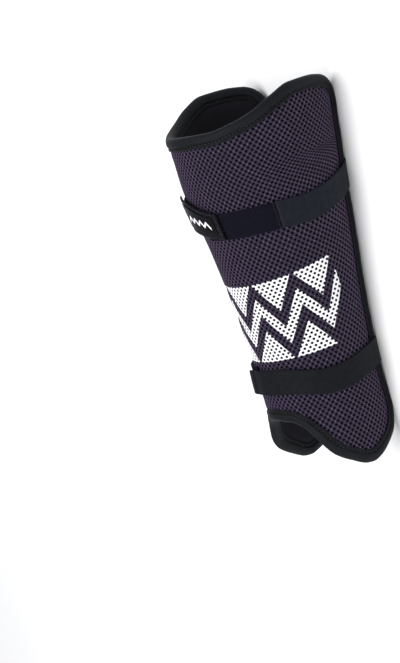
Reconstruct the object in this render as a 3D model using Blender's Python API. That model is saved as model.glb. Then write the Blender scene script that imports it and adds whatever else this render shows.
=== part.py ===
"""A padded shin guard that rests shin side up on its back edges and straps.

Metres, +Z up. The leg runs along +Y toward the knee, and the shin side faces +Z.
An angle is measured round the leg in degrees, from the shin line toward +X.
A height share runs from 0 at the ankle end to 1 at the knee end.
A lift is a distance out from the padded surface, so it is negative inside the wall.
"""
import math

import bmesh
import bpy

MM = 0.001

# Main sizes. LINING_THICKNESS is measured where the tape covers the lining
GUARD_LENGTH = 300.0 * MM
KNEE_HALF_DEPTH = 67.2 * MM
WIDTH_SHARE = 0.97
EDGE_ANGLE = 138.5
WALL = 8.0 * MM
LINING_THICKNESS = 1.0 * MM
TAPE_THICKNESS = 1.0 * MM
TAPE_LIP = 10.0 * MM
TAPE_STEP = 2.0 * MM
GAP = 0.3 * MM

# Rounding of the four corners beside the back opening
KNEE_CORNER_RUN = 20.0 * MM
ANKLE_CORNER_RUN = 18.0 * MM

# Outward flares: along the back edges, beside the instep arch, and at the knee rim
BACK_FLARE = 1.3 * MM
BACK_FLARE_START_ANGLE = 95.0
ARCH_FLARE = 5.0 * MM
ARCH_FLARE_ANGLE = 48.0
ARCH_FLARE_SPREAD_ANGLE = 18.0
ARCH_FLARE_SHARES = (0.05, 0.17)
KNEE_FLARE = 2.0 * MM
KNEE_FLARE_ANGLES = (70.0, 110.0)
KNEE_FLARE_SHARES = (0.84, 0.94)

# Straps, patches and tab
STRAP_HALF_WIDTH = 10.0 * MM
UPPER_STRAP_HALF_WIDTH = 10.5 * MM
STRAP_THICKNESS = 1.3 * MM
TAB_THICKNESS = 1.6 * MM
LABEL_THICKNESS = 0.6 * MM
LABEL_MARGIN = 4.5 * MM
STRAP_LIFT = 0.5 * MM
FREE_END_CURL = 1.2 * MM
FLOOR_BLEND = 1.0 * MM

# Angles where the straps, patches and tab start and end
UPPER_SEAM_ANGLE = 61.0
UPPER_STRAP_END_ANGLE = 354.0
UPPER_PATCH_START_ANGLE = -3.0
TAB_START_ANGLE = -33.0
TAB_END_ANGLE = 17.0
LABEL_START_ANGLE = -30.0
LABEL_END_ANGLE = 13.0
LOWER_FREE_END_ANGLE = -26.0
LOWER_STRAP_END_ANGLE = 280.0
LOWER_PATCH_START_ANGLE = -72.0
LOWER_PATCH_END_ANGLE = -8.0
FREE_END_SKEW_ANGLE = 4.0
SEAM_GAP_ANGLE = 0.5

# The lower strap comes down past the end of its patch, and its free end curls up
LOWERING_START_ANGLE = -2.0
LOWERING_END_ANGLE = 14.0
CURL_RUN_ANGLE = 14.0

# Mesh density
HALF_COLUMNS = 14
ROWS = 12
STRAP_STEP_ANGLE = 6.0
SURFACE_INSET = 15.0 * MM

# Sections across the leg
# height share, half depth and centre height as shares of KNEE_HALF_DEPTH
SECTIONS = (
    (0.00, 0.718, 0.4920),
    (0.10, 0.716, 0.5157),
    (0.25, 0.715, 0.5637),
    (0.40, 0.750, 0.5980),
    (0.60, 0.843, 0.6550),
    (0.80, 0.951, 0.7315),
    (1.00, 1.002, 0.7205),
)

# Border of the pad
# angle as a share of EDGE_ANGLE, height share
KNEE_EDGE = (
    (0.000, 0.917),
    (0.183, 0.917),
    (0.330, 0.930),
    (0.425, 0.946),
    (0.535, 0.975),
    (0.645, 0.997),
    (0.777, 1.000),
    (0.886, 0.994),
    (1.000, 0.982),
)
ANKLE_EDGE = (
    (0.000, 0.146),
    (0.125, 0.142),
    (0.212, 0.126),
    (0.286, 0.095),
    (0.337, 0.068),
    (0.388, 0.045),
    (0.476, 0.022),
    (0.601, 0.001),
    (0.645, 0.000),
    (0.718, 0.008),
    (0.806, 0.027),
    (0.886, 0.047),
    (1.000, 0.079),
)

# Centre lines of the straps, patches and tab
# angle, height share
UPPER_STRAP_LINE = (
    (61.0, 0.6815),
    (70.0, 0.6825),
    (87.0, 0.6845),
    (104.0, 0.6975),
    (124.0, 0.7185),
    (137.0, 0.7350),
    (152.0, 0.7550),
    (166.0, 0.7680),
    (180.0, 0.7740),
    (200.0, 0.7740),
    (223.0, 0.7650),
    (260.0, 0.7470),
    (300.0, 0.7320),
    (329.0, 0.7185),
    (345.0, 0.7085),
    (355.0, 0.7000),
)
UPPER_PATCH_LINE = (
    (-5.0, 0.6790),
    (25.0, 0.6775),
    (45.0, 0.6795),
    (61.0, 0.6815),
)
TAB_LINE = (
    (-33.0, 0.7200),
    (-15.0, 0.7085),
    (2.0, 0.6915),
    (18.0, 0.6780),
)
LOWER_STRAP_LINE = (
    (-31.0, 0.2535),
    (8.0, 0.2545),
    (26.0, 0.2540),
    (46.0, 0.2464),
    (65.0, 0.2385),
    (80.0, 0.2405),
    (95.0, 0.2485),
    (115.0, 0.2610),
    (137.0, 0.2700),
    (180.0, 0.2720),
    (223.0, 0.2720),
    (280.0, 0.2660),
)
LOWER_PATCH_LINE = (
    (-72.0, 0.2660),
    (-8.0, 0.2650),
)

# angle, half height as a share of GUARD_LENGTH
TAB_HALF_HEIGHTS = (
    (-33.0, 0.0460),
    (-15.0, 0.0455),
    (2.0, 0.0395),
    (18.0, 0.0350),
)

# Colours
MESH_COLOUR = (0.035, 0.027, 0.045, 1.0)
LINING_COLOUR = (0.012, 0.012, 0.015, 1.0)
TAPE_COLOUR = (0.012, 0.014, 0.022, 1.0)
ELASTIC_COLOUR = (0.015, 0.016, 0.024, 1.0)
PATCH_COLOUR = (0.010, 0.010, 0.018, 1.0)
TAB_COLOUR = (0.014, 0.014, 0.022, 1.0)


def read(table, place, column=1):
    """Read a table column at a place, on a smooth curve that never overshoots."""
    places = [row[0] for row in table]
    values = [row[column] for row in table]
    last = len(table) - 1
    place = min(max(place, places[0]), places[last])
    index = 0
    while index < last - 1 and place > places[index + 1]:
        index += 1
    slopes = [(values[i + 1] - values[i]) / (places[i + 1] - places[i]) for i in range(last)]

    def tangent(i):
        before = slopes[max(i - 1, 0)]
        after = slopes[min(i, last - 1)]
        if before * after <= 0.0:
            return 0.0
        return 2.0 * before * after / (before + after)

    span = places[index + 1] - places[index]
    t = (place - places[index]) / span
    start_weight = (1.0 + 2.0 * t) * (1.0 - t) ** 2
    end_weight = t * t * (3.0 - 2.0 * t)
    start_pull = t * (1.0 - t) ** 2 * span * tangent(index)
    end_pull = t * t * (t - 1.0) * span * tangent(index + 1)
    return start_weight * values[index] + end_weight * values[index + 1] + start_pull + end_pull


def half_depth(share):
    return KNEE_HALF_DEPTH * read(SECTIONS, share, 1)


def eased(value, low, high):
    """Smooth step from 0 at low to 1 at high."""
    t = min(max((value - low) / (high - low), 0.0), 1.0)
    return t * t * (3.0 - 2.0 * t)


def flare(angle, share):
    """How far the soft edges stand out from the plain section."""
    around = abs((angle + 180.0) % 360.0 - 180.0)
    back = BACK_FLARE * eased(around, BACK_FLARE_START_ANGLE, EDGE_ANGLE)
    beside_arch = math.exp(-((around - ARCH_FLARE_ANGLE) / ARCH_FLARE_SPREAD_ANGLE) ** 2)
    arch = ARCH_FLARE * beside_arch * (1.0 - eased(share, *ARCH_FLARE_SHARES))
    front = 1.0 - eased(around, *KNEE_FLARE_ANGLES)
    rim = KNEE_FLARE * front * eased(share, *KNEE_FLARE_SHARES)
    return back + arch + rim


def shell_point(angle, share, lift):
    """Point on the wrap's outer surface, moved out along the section's normal."""
    lift = lift + flare(angle, share)
    depth = half_depth(share)
    turn = math.radians(angle)
    normal_x = math.sin(turn) / WIDTH_SHARE
    normal_z = math.cos(turn)
    size = math.hypot(normal_x, normal_z)
    x = WIDTH_SHARE * depth * math.sin(turn) + lift * normal_x / size
    y = (share - 0.5) * GUARD_LENGTH
    centre = KNEE_HALF_DEPTH * read(SECTIONS, share, 2)
    z = centre + depth * math.cos(turn) + lift * normal_z / size
    return (x, y, z)


def mean_radius(share):
    return half_depth(share) * (1.0 + WIDTH_SHARE) / 2.0


def to_flat(angle, share):
    """Lay a surface place out flat: arc length round the leg, length along it."""
    return (math.radians(angle) * mean_radius(share), share * GUARD_LENGTH)


def from_flat(point):
    share = point[1] / GUARD_LENGTH
    return (math.degrees(point[0] / mean_radius(share)), share)


def between(start, end, t):
    return (start[0] + (end[0] - start[0]) * t, start[1] + (end[1] - start[1]) * t)


def distance(start, end):
    return math.hypot(end[0] - start[0], end[1] - start[1])


def trimmed(points, run):
    """Drop the last stretch of a polyline."""
    points = list(points)
    while len(points) > 2 and distance(points[-2], points[-1]) < run:
        run -= distance(points[-2], points[-1])
        points.pop()
    last = distance(points[-2], points[-1])
    points[-1] = between(points[-1], points[-2], run / last)
    return points


def bend(start, corner, end, steps):
    """Round corner from start to end, as a chain of points."""
    pull = 0.56
    first = between(start, corner, pull)
    second = between(end, corner, pull)
    chain = []
    for step in range(steps + 1):
        t = step / steps
        low = between(between(start, first, t), between(first, second, t), t)
        high = between(between(first, second, t), between(second, end, t), t)
        chain.append(between(low, high, t))
    return chain


def spread(points, count, clustering):
    """Pick count + 1 places along a polyline, closer together toward chosen ends."""
    lengths = [0.0]
    for start, end in zip(points, points[1:]):
        lengths.append(lengths[-1] + distance(start, end))
    picked = []
    index = 0
    for step in range(count + 1):
        target = clustering(step / count) * lengths[-1]
        while index < len(points) - 2 and lengths[index + 1] < target:
            index += 1
        span = lengths[index + 1] - lengths[index]
        picked.append(between(points[index], points[index + 1], (target - lengths[index]) / span))
    return picked


def toward_end(t):
    return 0.5 * t + 0.5 * math.sin(t * math.pi / 2.0)


def toward_both(t):
    return 0.45 * t + 0.55 * (0.5 - 0.5 * math.cos(t * math.pi))


def half_outline():
    """Bottom, side and top of the border on the +X side, laid out flat."""
    steps = 80
    shares = [step / steps for step in range(steps + 1)]
    ankle = [to_flat(t * EDGE_ANGLE, read(ANKLE_EDGE, t)) for t in shares]
    knee = [to_flat(t * EDGE_ANGLE, read(KNEE_EDGE, t)) for t in shares]
    low = read(ANKLE_EDGE, 1.0)
    high = read(KNEE_EDGE, 1.0)
    side = [to_flat(EDGE_ANGLE, low + (high - low) * t) for t in shares]
    ankle_corner = side[0]
    knee_corner = side[-1]
    ankle = trimmed(ankle, ANKLE_CORNER_RUN)
    knee = trimmed(knee, KNEE_CORNER_RUN)
    side = trimmed(side, KNEE_CORNER_RUN)
    side = trimmed(side[::-1], ANKLE_CORNER_RUN)[::-1]
    bend_steps = 16
    half = bend_steps // 2
    ankle_bend = bend(ankle[-1], ankle_corner, side[0], bend_steps)
    knee_bend = bend(side[-1], knee_corner, knee[-1], bend_steps)
    bottom = ankle[:-1] + ankle_bend[:half + 1]
    middle = ankle_bend[half:] + side[1:-1] + knee_bend[:half + 1]
    top = knee[:-1] + knee_bend[:half - 1:-1]
    return (
        spread(bottom, HALF_COLUMNS, toward_end),
        spread(middle, ROWS, toward_both),
        spread(top, HALF_COLUMNS, toward_end),
    )


def mirrored(points):
    return [(-point[0], point[1]) for point in points]


def outline():
    """Whole border, anticlockwise from the ankle corner on the -X side."""
    bottom, side, top = half_outline()
    loop = mirrored(bottom)[::-1] + bottom[1:]
    loop += side[1:]
    loop += top[::-1][1:] + mirrored(top)[1:]
    loop += mirrored(side)[::-1][1:-1]
    return loop


def inward_directions(loop):
    directions = []
    count = len(loop)
    for index in range(count):
        before = loop[index - 1]
        here = loop[index]
        after = loop[(index + 1) % count]
        first = distance(before, here)
        second = distance(here, after)
        along_u = (here[0] - before[0]) / first + (after[0] - here[0]) / second
        along_v = (here[1] - before[1]) / first + (after[1] - here[1]) / second
        size = math.hypot(along_u, along_v)
        directions.append((-along_v / size, along_u / size))
    return directions


def inset(loop, directions, amount):
    return [
        (point[0] + way[0] * amount, point[1] + way[1] * amount)
        for point, way in zip(loop, directions)
    ]


def filled(loop):
    """Grid of flat places inside a border loop, blended from its four sides."""
    columns = 2 * HALF_COLUMNS
    bottom = loop[:columns + 1]
    right = loop[columns:columns + ROWS + 1]
    top = loop[columns + ROWS:2 * columns + ROWS + 1][::-1]
    left = (loop[2 * columns + ROWS:] + loop[:1])[::-1]
    grid = []
    for row in range(ROWS + 1):
        v = row / ROWS
        line = []
        for column in range(columns + 1):
            u = column / columns
            place = []
            for axis in (0, 1):
                sides = (1 - v) * bottom[column][axis] + v * top[column][axis]
                sides += (1 - u) * left[row][axis] + u * right[row][axis]
                corners = (1 - u) * (1 - v) * bottom[0][axis] + u * (1 - v) * bottom[-1][axis]
                corners += (1 - u) * v * top[0][axis] + u * v * top[-1][axis]
                place.append(sides - corners)
            line.append(tuple(place))
        grid.append(line)
    return grid


def make_object(name, vertices, faces, colour, roughness):
    """Add a closed mesh object that carries its own material."""
    mesh = bpy.data.meshes.new(name)
    editor = bmesh.new()
    added = [editor.verts.new(vertex) for vertex in vertices]
    for face in faces:
        editor.faces.new([added[index] for index in face])
    bmesh.ops.recalc_face_normals(editor, faces=editor.faces)
    editor.to_mesh(mesh)
    editor.free()
    material = bpy.data.materials.new(name)
    material.use_nodes = True
    surface = material.node_tree.nodes["Principled BSDF"]
    surface.inputs["Base Color"].default_value = colour
    surface.inputs["Roughness"].default_value = roughness
    surface.inputs["Metallic"].default_value = 0.0
    mesh.materials.append(material)
    mesh.shade_smooth()
    mesh.set_sharp_from_angle(angle=math.radians(40.0))
    piece = bpy.data.objects.new(name, mesh)
    bpy.context.scene.collection.objects.link(piece)
    return piece


def make_wrap(name, levels, colour, roughness):
    """Closed layer of the wrap. Each level holds an inset, an outer and an inner lift."""
    loop = outline()
    directions = inward_directions(loop)
    count = len(loop)
    columns = 2 * HALF_COLUMNS
    places = []
    lifts = []
    for amount, outer, inner in levels:
        for point in inset(loop, directions, amount):
            places.append(from_flat(point))
            lifts.append((outer, inner))
    last_ring = (len(levels) - 1) * count
    grid = filled(inset(loop, directions, levels[-1][0]))
    names = {}
    for column in range(columns + 1):
        names[0, column] = last_ring + column
        names[ROWS, column] = last_ring + 2 * columns + ROWS - column
    for row in range(1, ROWS):
        names[row, columns] = last_ring + columns + row
        names[row, 0] = last_ring + count - row
        for column in range(1, columns):
            names[row, column] = len(places)
            places.append(from_flat(grid[row][column]))
            lifts.append((levels[-1][1], levels[-1][2]))
    quads = []
    for ring in range(len(levels) - 1):
        near = ring * count
        for index in range(count):
            after = (index + 1) % count
            quads.append((near + index, near + after, near + count + after, near + count + index))
    for row in range(ROWS):
        for column in range(columns):
            quads.append((
                names[row, column],
                names[row, column + 1],
                names[row + 1, column + 1],
                names[row + 1, column],
            ))
    total = len(places)
    vertices = [shell_point(*place, lift[0]) for place, lift in zip(places, lifts)]
    vertices += [shell_point(*place, lift[1]) for place, lift in zip(places, lifts)]
    faces = []
    for first, second, third, fourth in quads:
        faces.append((first, second, third))
        faces.append((first, third, fourth))
    faces += [tuple(total + index for index in reversed(face)) for face in faces]
    for index in range(count):
        after = (index + 1) % count
        faces.append((after, index, total + index, total + after))
    return make_object(name, vertices, faces, colour, roughness)


def arc(centre, radius, start, end, steps):
    points = []
    for step in range(steps + 1):
        turn = math.radians(start + (end - start) * step / steps)
        points.append((
            centre[0] + radius * math.cos(turn),
            centre[1] + radius * math.sin(turn),
        ))
    return points


def make_binding():
    """Tape folded round the border, with a rolled nose and a lip on each face."""
    nose = WALL / 2.0
    centre = (nose, -nose)
    profile = [(TAPE_LIP, 0.0)]
    profile += arc(centre, nose, 90.0, 270.0, 4)
    profile += [(TAPE_LIP, -WALL), (TAPE_LIP, -WALL + TAPE_THICKNESS)]
    profile += arc(centre, nose - TAPE_THICKNESS, 270.0, 90.0, 4)
    profile += [(TAPE_LIP, -TAPE_THICKNESS)]
    loop = outline()
    directions = inward_directions(loop)
    sides = len(profile)
    vertices = []
    for point, way in zip(loop, directions):
        for amount, lift in profile:
            place = from_flat((point[0] + way[0] * amount, point[1] + way[1] * amount))
            vertices.append(shell_point(*place, lift))
    faces = []
    for index in range(len(loop)):
        here = index * sides
        there = ((index + 1) % len(loop)) * sides
        for side in range(sides):
            after = (side + 1) % sides
            if profile[side][0] <= profile[after][0]:
                faces.append((here + side, there + side, there + after))
                faces.append((here + side, there + after, here + after))
            else:
                faces.append((here + side, there + side, here + after))
                faces.append((there + side, there + after, here + after))
    return make_object("edge_binding", vertices, faces, TAPE_COLOUR, 0.75)


def raised(height, floor):
    """Height kept above the floor, with a soft bend where the two meet."""
    nearness = max(FLOOR_BLEND - abs(height - floor), 0.0) / FLOOR_BLEND
    return max(height, floor) + nearness * nearness * FLOOR_BLEND / 4.0


def make_band(name, start, end, line, half_height, lift, thickness, colour, roughness, skew=0.0):
    """Flat band laid round the wrap and kept above the floor.

    The half height and the lift are functions of the angle. The skew slants the start.
    """
    steps = max(int(math.ceil((end - start) / STRAP_STEP_ANGLE)), 2)
    vertices = []
    for step in range(steps + 1):
        angle = start + (end - start) * step / steps
        centre = read(line, angle)
        half = half_height(angle)
        slant = skew * max(1.0 - step / 3.0, 0.0)
        section = []
        for side in (-1.0, 0.0, 1.0):
            place = (angle + side * slant, centre + side * half)
            x, y, z = shell_point(*place, lift(angle))
            section.append((x, y, raised(z, thickness)))
        for side in (1.0, 0.0, -1.0):
            place = (angle + side * slant, centre + side * half)
            x, y, z = shell_point(*place, lift(angle) + thickness)
            section.append((x, y, raised(z, 0.0)))
        vertices += section
    faces = []
    for step in range(steps):
        here = step * 6
        there = here + 6
        for side in range(6):
            after = (side + 1) % 6
            faces.append((here + side, there + side, there + after, here + after))
    for first in (0, steps * 6):
        faces.append((first, first + 1, first + 4, first + 5))
        faces.append((first + 1, first + 2, first + 3, first + 4))
    return make_object(name, vertices, faces, colour, roughness)


def main():
    for old in list(bpy.data.objects):
        bpy.data.objects.remove(old, do_unlink=True)

    covered = TAPE_THICKNESS + GAP
    tucked_edge = WALL / 2.0 + GAP
    lip_end = TAPE_LIP + GAP
    open_start = TAPE_LIP + TAPE_STEP
    lining_outer = covered + LINING_THICKNESS - WALL
    pad_inner = lining_outer + GAP
    pad_levels = (
        (tucked_edge, -covered, pad_inner),
        (lip_end, -covered, pad_inner),
        (open_start, 0.0, pad_inner),
        (SURFACE_INSET, 0.0, pad_inner),
    )
    lining_levels = (
        (tucked_edge, lining_outer, covered - WALL),
        (lip_end, lining_outer, covered - WALL),
        (open_start, lining_outer, -WALL),
        (SURFACE_INSET, lining_outer, -WALL),
    )
    make_wrap("pad", pad_levels, MESH_COLOUR, 0.8)
    make_wrap("lining", lining_levels, LINING_COLOUR, 0.9)
    make_binding()

    second_lift = STRAP_LIFT + STRAP_THICKNESS + GAP
    label_lift = second_lift + TAB_THICKNESS + GAP
    upper_half = UPPER_STRAP_HALF_WIDTH / GUARD_LENGTH
    lower_half = STRAP_HALF_WIDTH / GUARD_LENGTH
    label_margin = LABEL_MARGIN / GUARD_LENGTH

    def lower_lift(angle):
        raised_part = 1.0 - eased(angle, LOWERING_START_ANGLE, LOWERING_END_ANGLE)
        curl_end = LOWER_FREE_END_ANGLE + CURL_RUN_ANGLE
        curl = 1.0 - eased(angle, LOWER_FREE_END_ANGLE, curl_end)
        return STRAP_LIFT + raised_part * (second_lift - STRAP_LIFT) + curl * FREE_END_CURL

    make_band(
        "upper_strap", UPPER_SEAM_ANGLE + SEAM_GAP_ANGLE, UPPER_STRAP_END_ANGLE, UPPER_STRAP_LINE,
        lambda angle: upper_half, lambda angle: STRAP_LIFT, STRAP_THICKNESS,
        ELASTIC_COLOUR, 0.7,
    )
    make_band(
        "upper_loop_patch", UPPER_PATCH_START_ANGLE, UPPER_SEAM_ANGLE, UPPER_PATCH_LINE,
        lambda angle: upper_half, lambda angle: STRAP_LIFT, STRAP_THICKNESS,
        PATCH_COLOUR, 0.95,
    )
    make_band(
        "upper_tab", TAB_START_ANGLE, TAB_END_ANGLE, TAB_LINE,
        lambda angle: read(TAB_HALF_HEIGHTS, angle), lambda angle: second_lift, TAB_THICKNESS,
        TAB_COLOUR, 0.6,
    )
    make_band(
        "upper_label", LABEL_START_ANGLE, LABEL_END_ANGLE, TAB_LINE,
        lambda angle: read(TAB_HALF_HEIGHTS, angle) - label_margin, lambda angle: label_lift,
        LABEL_THICKNESS, TAB_COLOUR, 0.5,
    )
    make_band(
        "lower_strap", LOWER_FREE_END_ANGLE, LOWER_STRAP_END_ANGLE, LOWER_STRAP_LINE,
        lambda angle: lower_half, lower_lift, STRAP_THICKNESS,
        ELASTIC_COLOUR, 0.7, FREE_END_SKEW_ANGLE,
    )
    make_band(
        "lower_loop_patch", LOWER_PATCH_START_ANGLE, LOWER_PATCH_END_ANGLE, LOWER_PATCH_LINE,
        lambda angle: lower_half, lambda angle: STRAP_LIFT, STRAP_THICKNESS,
        PATCH_COLOUR, 0.95,
    )


main()
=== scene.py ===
"""Looks of a padded shin guard: knitted mesh over foam, folded tape, elastic straps and a tab.

Metres, +Z up. The leg runs along +Y toward the knee, and the shin side faces +Z.
An angle is measured round the leg in degrees, from the shin line toward +X.
A height share runs from 0 at the ankle end to 1 at the knee end.
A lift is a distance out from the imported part's padded surface.
"""
import math

import bmesh
import bpy
import numpy as np
from mathutils import Matrix, Vector
from mathutils.kdtree import KDTree


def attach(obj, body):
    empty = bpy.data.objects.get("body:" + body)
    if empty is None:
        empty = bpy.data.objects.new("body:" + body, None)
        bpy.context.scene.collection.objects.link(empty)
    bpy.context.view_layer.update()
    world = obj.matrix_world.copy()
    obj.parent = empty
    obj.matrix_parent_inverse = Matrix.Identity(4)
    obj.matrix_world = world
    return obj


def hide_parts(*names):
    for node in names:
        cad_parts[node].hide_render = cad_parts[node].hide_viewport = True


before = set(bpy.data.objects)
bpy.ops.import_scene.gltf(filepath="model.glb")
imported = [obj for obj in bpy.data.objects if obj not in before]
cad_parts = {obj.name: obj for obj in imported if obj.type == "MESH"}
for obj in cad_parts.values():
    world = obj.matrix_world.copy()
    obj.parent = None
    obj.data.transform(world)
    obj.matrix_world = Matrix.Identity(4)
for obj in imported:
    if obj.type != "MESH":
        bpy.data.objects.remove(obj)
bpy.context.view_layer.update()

MM = 0.001
UV_UNIT = 100.0 * MM
SEAM_WELD = 0.001 * MM

# The wrap's sizes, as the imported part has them
GUARD_LENGTH = 300.0 * MM
KNEE_HALF_DEPTH = 67.2 * MM
WIDTH_SHARE = 0.97
EDGE_ANGLE = 138.5
WALL = 8.0 * MM
KNEE_CORNER_RUN = 20.0 * MM
ANKLE_CORNER_RUN = 18.0 * MM
BACK_FLARE = 1.3 * MM
BACK_FLARE_START_ANGLE = 95.0
ARCH_FLARE = 5.0 * MM
ARCH_FLARE_ANGLE = 48.0
ARCH_FLARE_SPREAD_ANGLE = 18.0
ARCH_FLARE_SHARES = (0.05, 0.17)
KNEE_FLARE = 2.0 * MM
KNEE_FLARE_ANGLES = (70.0, 110.0)
KNEE_FLARE_SHARES = (0.84, 0.94)

# Sections across the leg
# height share, half depth and centre height as shares of KNEE_HALF_DEPTH
SECTIONS = (
    (0.00, 0.718, 0.4920),
    (0.10, 0.716, 0.5157),
    (0.25, 0.715, 0.5637),
    (0.40, 0.750, 0.5980),
    (0.60, 0.843, 0.6550),
    (0.80, 0.951, 0.7315),
    (1.00, 1.002, 0.7205),
)

# Border of the pad
# angle as a share of EDGE_ANGLE, height share
KNEE_EDGE = (
    (0.000, 0.917),
    (0.183, 0.917),
    (0.330, 0.930),
    (0.425, 0.946),
    (0.535, 0.975),
    (0.645, 0.997),
    (0.777, 1.000),
    (0.886, 0.994),
    (1.000, 0.982),
)
ANKLE_EDGE = (
    (0.000, 0.146),
    (0.125, 0.142),
    (0.212, 0.126),
    (0.286, 0.095),
    (0.337, 0.068),
    (0.388, 0.045),
    (0.476, 0.022),
    (0.601, 0.001),
    (0.645, 0.000),
    (0.718, 0.008),
    (0.806, 0.027),
    (0.886, 0.047),
    (1.000, 0.079),
)

# Centre lines of the straps, patches and tab
# angle, height share
UPPER_STRAP_LINE = (
    (61.0, 0.6815),
    (70.0, 0.6825),
    (87.0, 0.6845),
    (104.0, 0.6975),
    (124.0, 0.7185),
    (137.0, 0.7350),
    (152.0, 0.7550),
    (166.0, 0.7680),
    (180.0, 0.7740),
    (200.0, 0.7740),
    (223.0, 0.7650),
    (260.0, 0.7470),
    (300.0, 0.7320),
    (329.0, 0.7185),
    (345.0, 0.7085),
    (355.0, 0.7000),
)
UPPER_PATCH_LINE = (
    (-5.0, 0.6790),
    (25.0, 0.6775),
    (45.0, 0.6795),
    (61.0, 0.6815),
)
TAB_LINE = (
    (-33.0, 0.7200),
    (-15.0, 0.7085),
    (2.0, 0.6915),
    (18.0, 0.6780),
)
LOWER_STRAP_LINE = (
    (-31.0, 0.2535),
    (8.0, 0.2545),
    (26.0, 0.2540),
    (46.0, 0.2464),
    (65.0, 0.2385),
    (80.0, 0.2405),
    (95.0, 0.2485),
    (115.0, 0.2610),
    (137.0, 0.2700),
    (180.0, 0.2720),
    (223.0, 0.2720),
    (280.0, 0.2660),
)
LOWER_PATCH_LINE = (
    (-72.0, 0.2660),
    (-8.0, 0.2650),
)

# angle, half height as a share of GUARD_LENGTH
TAB_HALF_HEIGHTS = (
    (-33.0, 0.0460),
    (-15.0, 0.0455),
    (2.0, 0.0395),
    (18.0, 0.0350),
)

# Straps, patches and tab, with where each starts and ends round the leg
STRAP_HALF_WIDTH = 10.0 * MM
UPPER_STRAP_HALF_WIDTH = 10.5 * MM
STRAP_THICKNESS = 1.3 * MM
PATCH_THICKNESS = 1.1 * MM
TAB_THICKNESS = 1.3 * MM
LABEL_THICKNESS = 0.6 * MM
LABEL_MARGIN = 4.5 * MM
TAB_COVER_HALF_WIDTH = 11.5 * MM
FLOOR_BLEND = 1.0 * MM
UPPER_STRAP_ANGLES = (61.5, 354.0)
UPPER_PATCH_ANGLES = (-3.0, 61.0)
TAB_ANGLES = (-33.0, 17.0)
LABEL_ANGLES = (-30.0, 12.0)
LOWER_STRAP_ANGLES = (-26.0, 280.0)
LOWER_PATCH_ANGLES = (-72.0, -8.0)
LOWERING_ANGLES = (-2.0, 14.0)
CURL_ANGLES = (-26.0, -12.0)
FREE_END_CURL = 1.2 * MM
FREE_END_SKEW_ANGLE = 4.0
FREE_END_SKEW_RUN_ANGLE = 18.0
FOLD_STITCH_ANGLE = -19.0

# The straps press into the foam, and ride up where they cross the folded tape
STRAP_SEAT = 0.15 * MM
TAPE_CLIMB = 0.45 * MM
TAPE_CLIMB_ANGLES = (117.0, 130.0)
PATCH_STACK = 1.45 * MM
TAB_SEAT = 1.75 * MM
LABEL_SEAT = 3.30 * MM

# Foam under the mesh: it starts thin and swells to these depths
FOAM_OUTER = -1.6 * MM
FOAM_INNER = -5.9 * MM
FOAM_TUCKED_OUTER = -2.3 * MM
FOAM_TUCKED_INNER = -5.3 * MM
FOAM_SWELL = 1.1 * MM
FOAM_SWELL_UNDER_STRAP = 0.4 * MM
FOAM_SWELL_INSIDE = 0.7 * MM
COVER_SOFT_EDGE = 3.5 * MM
COVER_SOFT_ANGLE = 4.0

# Insets from the border: the sewn edge ends, and the layers have their full depth
SEWN_INSET = 10.2 * MM
FREE_INSET = 16.0 * MM

# Lifts of the lining's two faces, and the depth of its middle as a whole
LINING_SEWN_LIFTS = (-5.75 * MM, -6.7 * MM)
LINING_LIFTS = (-7.0 * MM, -7.95 * MM)
LINING_DEPTH = 7.3 * MM

# Knitted mesh: rows of holes across the leg, each row shifted by half a pitch
ROW_PITCH = 2.5 * MM
HOLE_PITCH = 4.55 * MM
HOLE_HALF_WIDTH = 1.24 * MM
HOLE_HALF_HEIGHT = 1.06 * MM
MESH_THICKNESS = 0.85 * MM
MESH_ABOVE_FOAM = 1.0 * MM
MESH_HIDDEN_EDGE = 7.4 * MM
MESH_WELD = 0.05 * MM
MESH_COLUMNS = (-45, 46)
MESH_ROWS = (-20, 130)

# One cell of the mesh: corners as shares of half a pitch across and of a row
CELL_CORNERS = (
    (1.0, 0.0),
    (0.5, 0.5),
    (0.0, 1.0),
    (-0.5, 0.5),
    (-1.0, 0.0),
    (-0.5, -0.5),
    (0.0, -1.0),
    (0.5, -0.5),
)
STRAND_SAG = 0.10 * MM
# Rim and wall of a hole: share of the hole's size, depth
HOLE_LEVELS = ((1.06, 0.22 * MM), (0.94, 0.62 * MM))

# Sewing
STITCH_PITCH = 3.0 * MM
STITCH_LENGTH = 2.3 * MM
THREAD = 0.45 * MM
STITCH_DEPTH = 0.52 * MM
STITCH_PULL = 0.22 * MM

# Camera, set from the photograph's angle to the guard
CAMERA_AZIMUTH = 9.639
CAMERA_ELEVATION = 29.555
CAMERA_ROLL = -107.664
CAMERA_DISTANCE = 1.59094
CAMERA_AIM = (-0.02954, -0.02478, 0.11667)
CAMERA_LENS = 111.99


def read(table, places, column=1):
    """Read a table column at some places, on a smooth curve that never overshoots."""
    knots = np.array([row[0] for row in table])
    values = np.array([row[column] for row in table])
    places = np.clip(np.asarray(places, dtype=float), knots[0], knots[-1])
    spans = np.diff(knots)
    slopes = np.diff(values) / spans
    before = np.concatenate((slopes[:1], slopes))
    after = np.concatenate((slopes, slopes[-1:]))
    agree = before * after > 0.0
    total = np.where(agree, before + after, 1.0)
    tangents = np.where(agree, 2.0 * before * after / total, 0.0)
    index = np.clip(np.searchsorted(knots, places, side="left") - 1, 0, len(spans) - 1)
    span = spans[index]
    t = (places - knots[index]) / span
    result = (1.0 + 2.0 * t) * (1.0 - t) ** 2 * values[index]
    result += t * t * (3.0 - 2.0 * t) * values[index + 1]
    result += t * (1.0 - t) ** 2 * span * tangents[index]
    result += t * t * (t - 1.0) * span * tangents[index + 1]
    return result


def eased(values, low, high):
    """Smooth step from 0 at low to 1 at high."""
    t = np.clip((values - low) / (high - low), 0.0, 1.0)
    return t * t * (3.0 - 2.0 * t)


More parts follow.
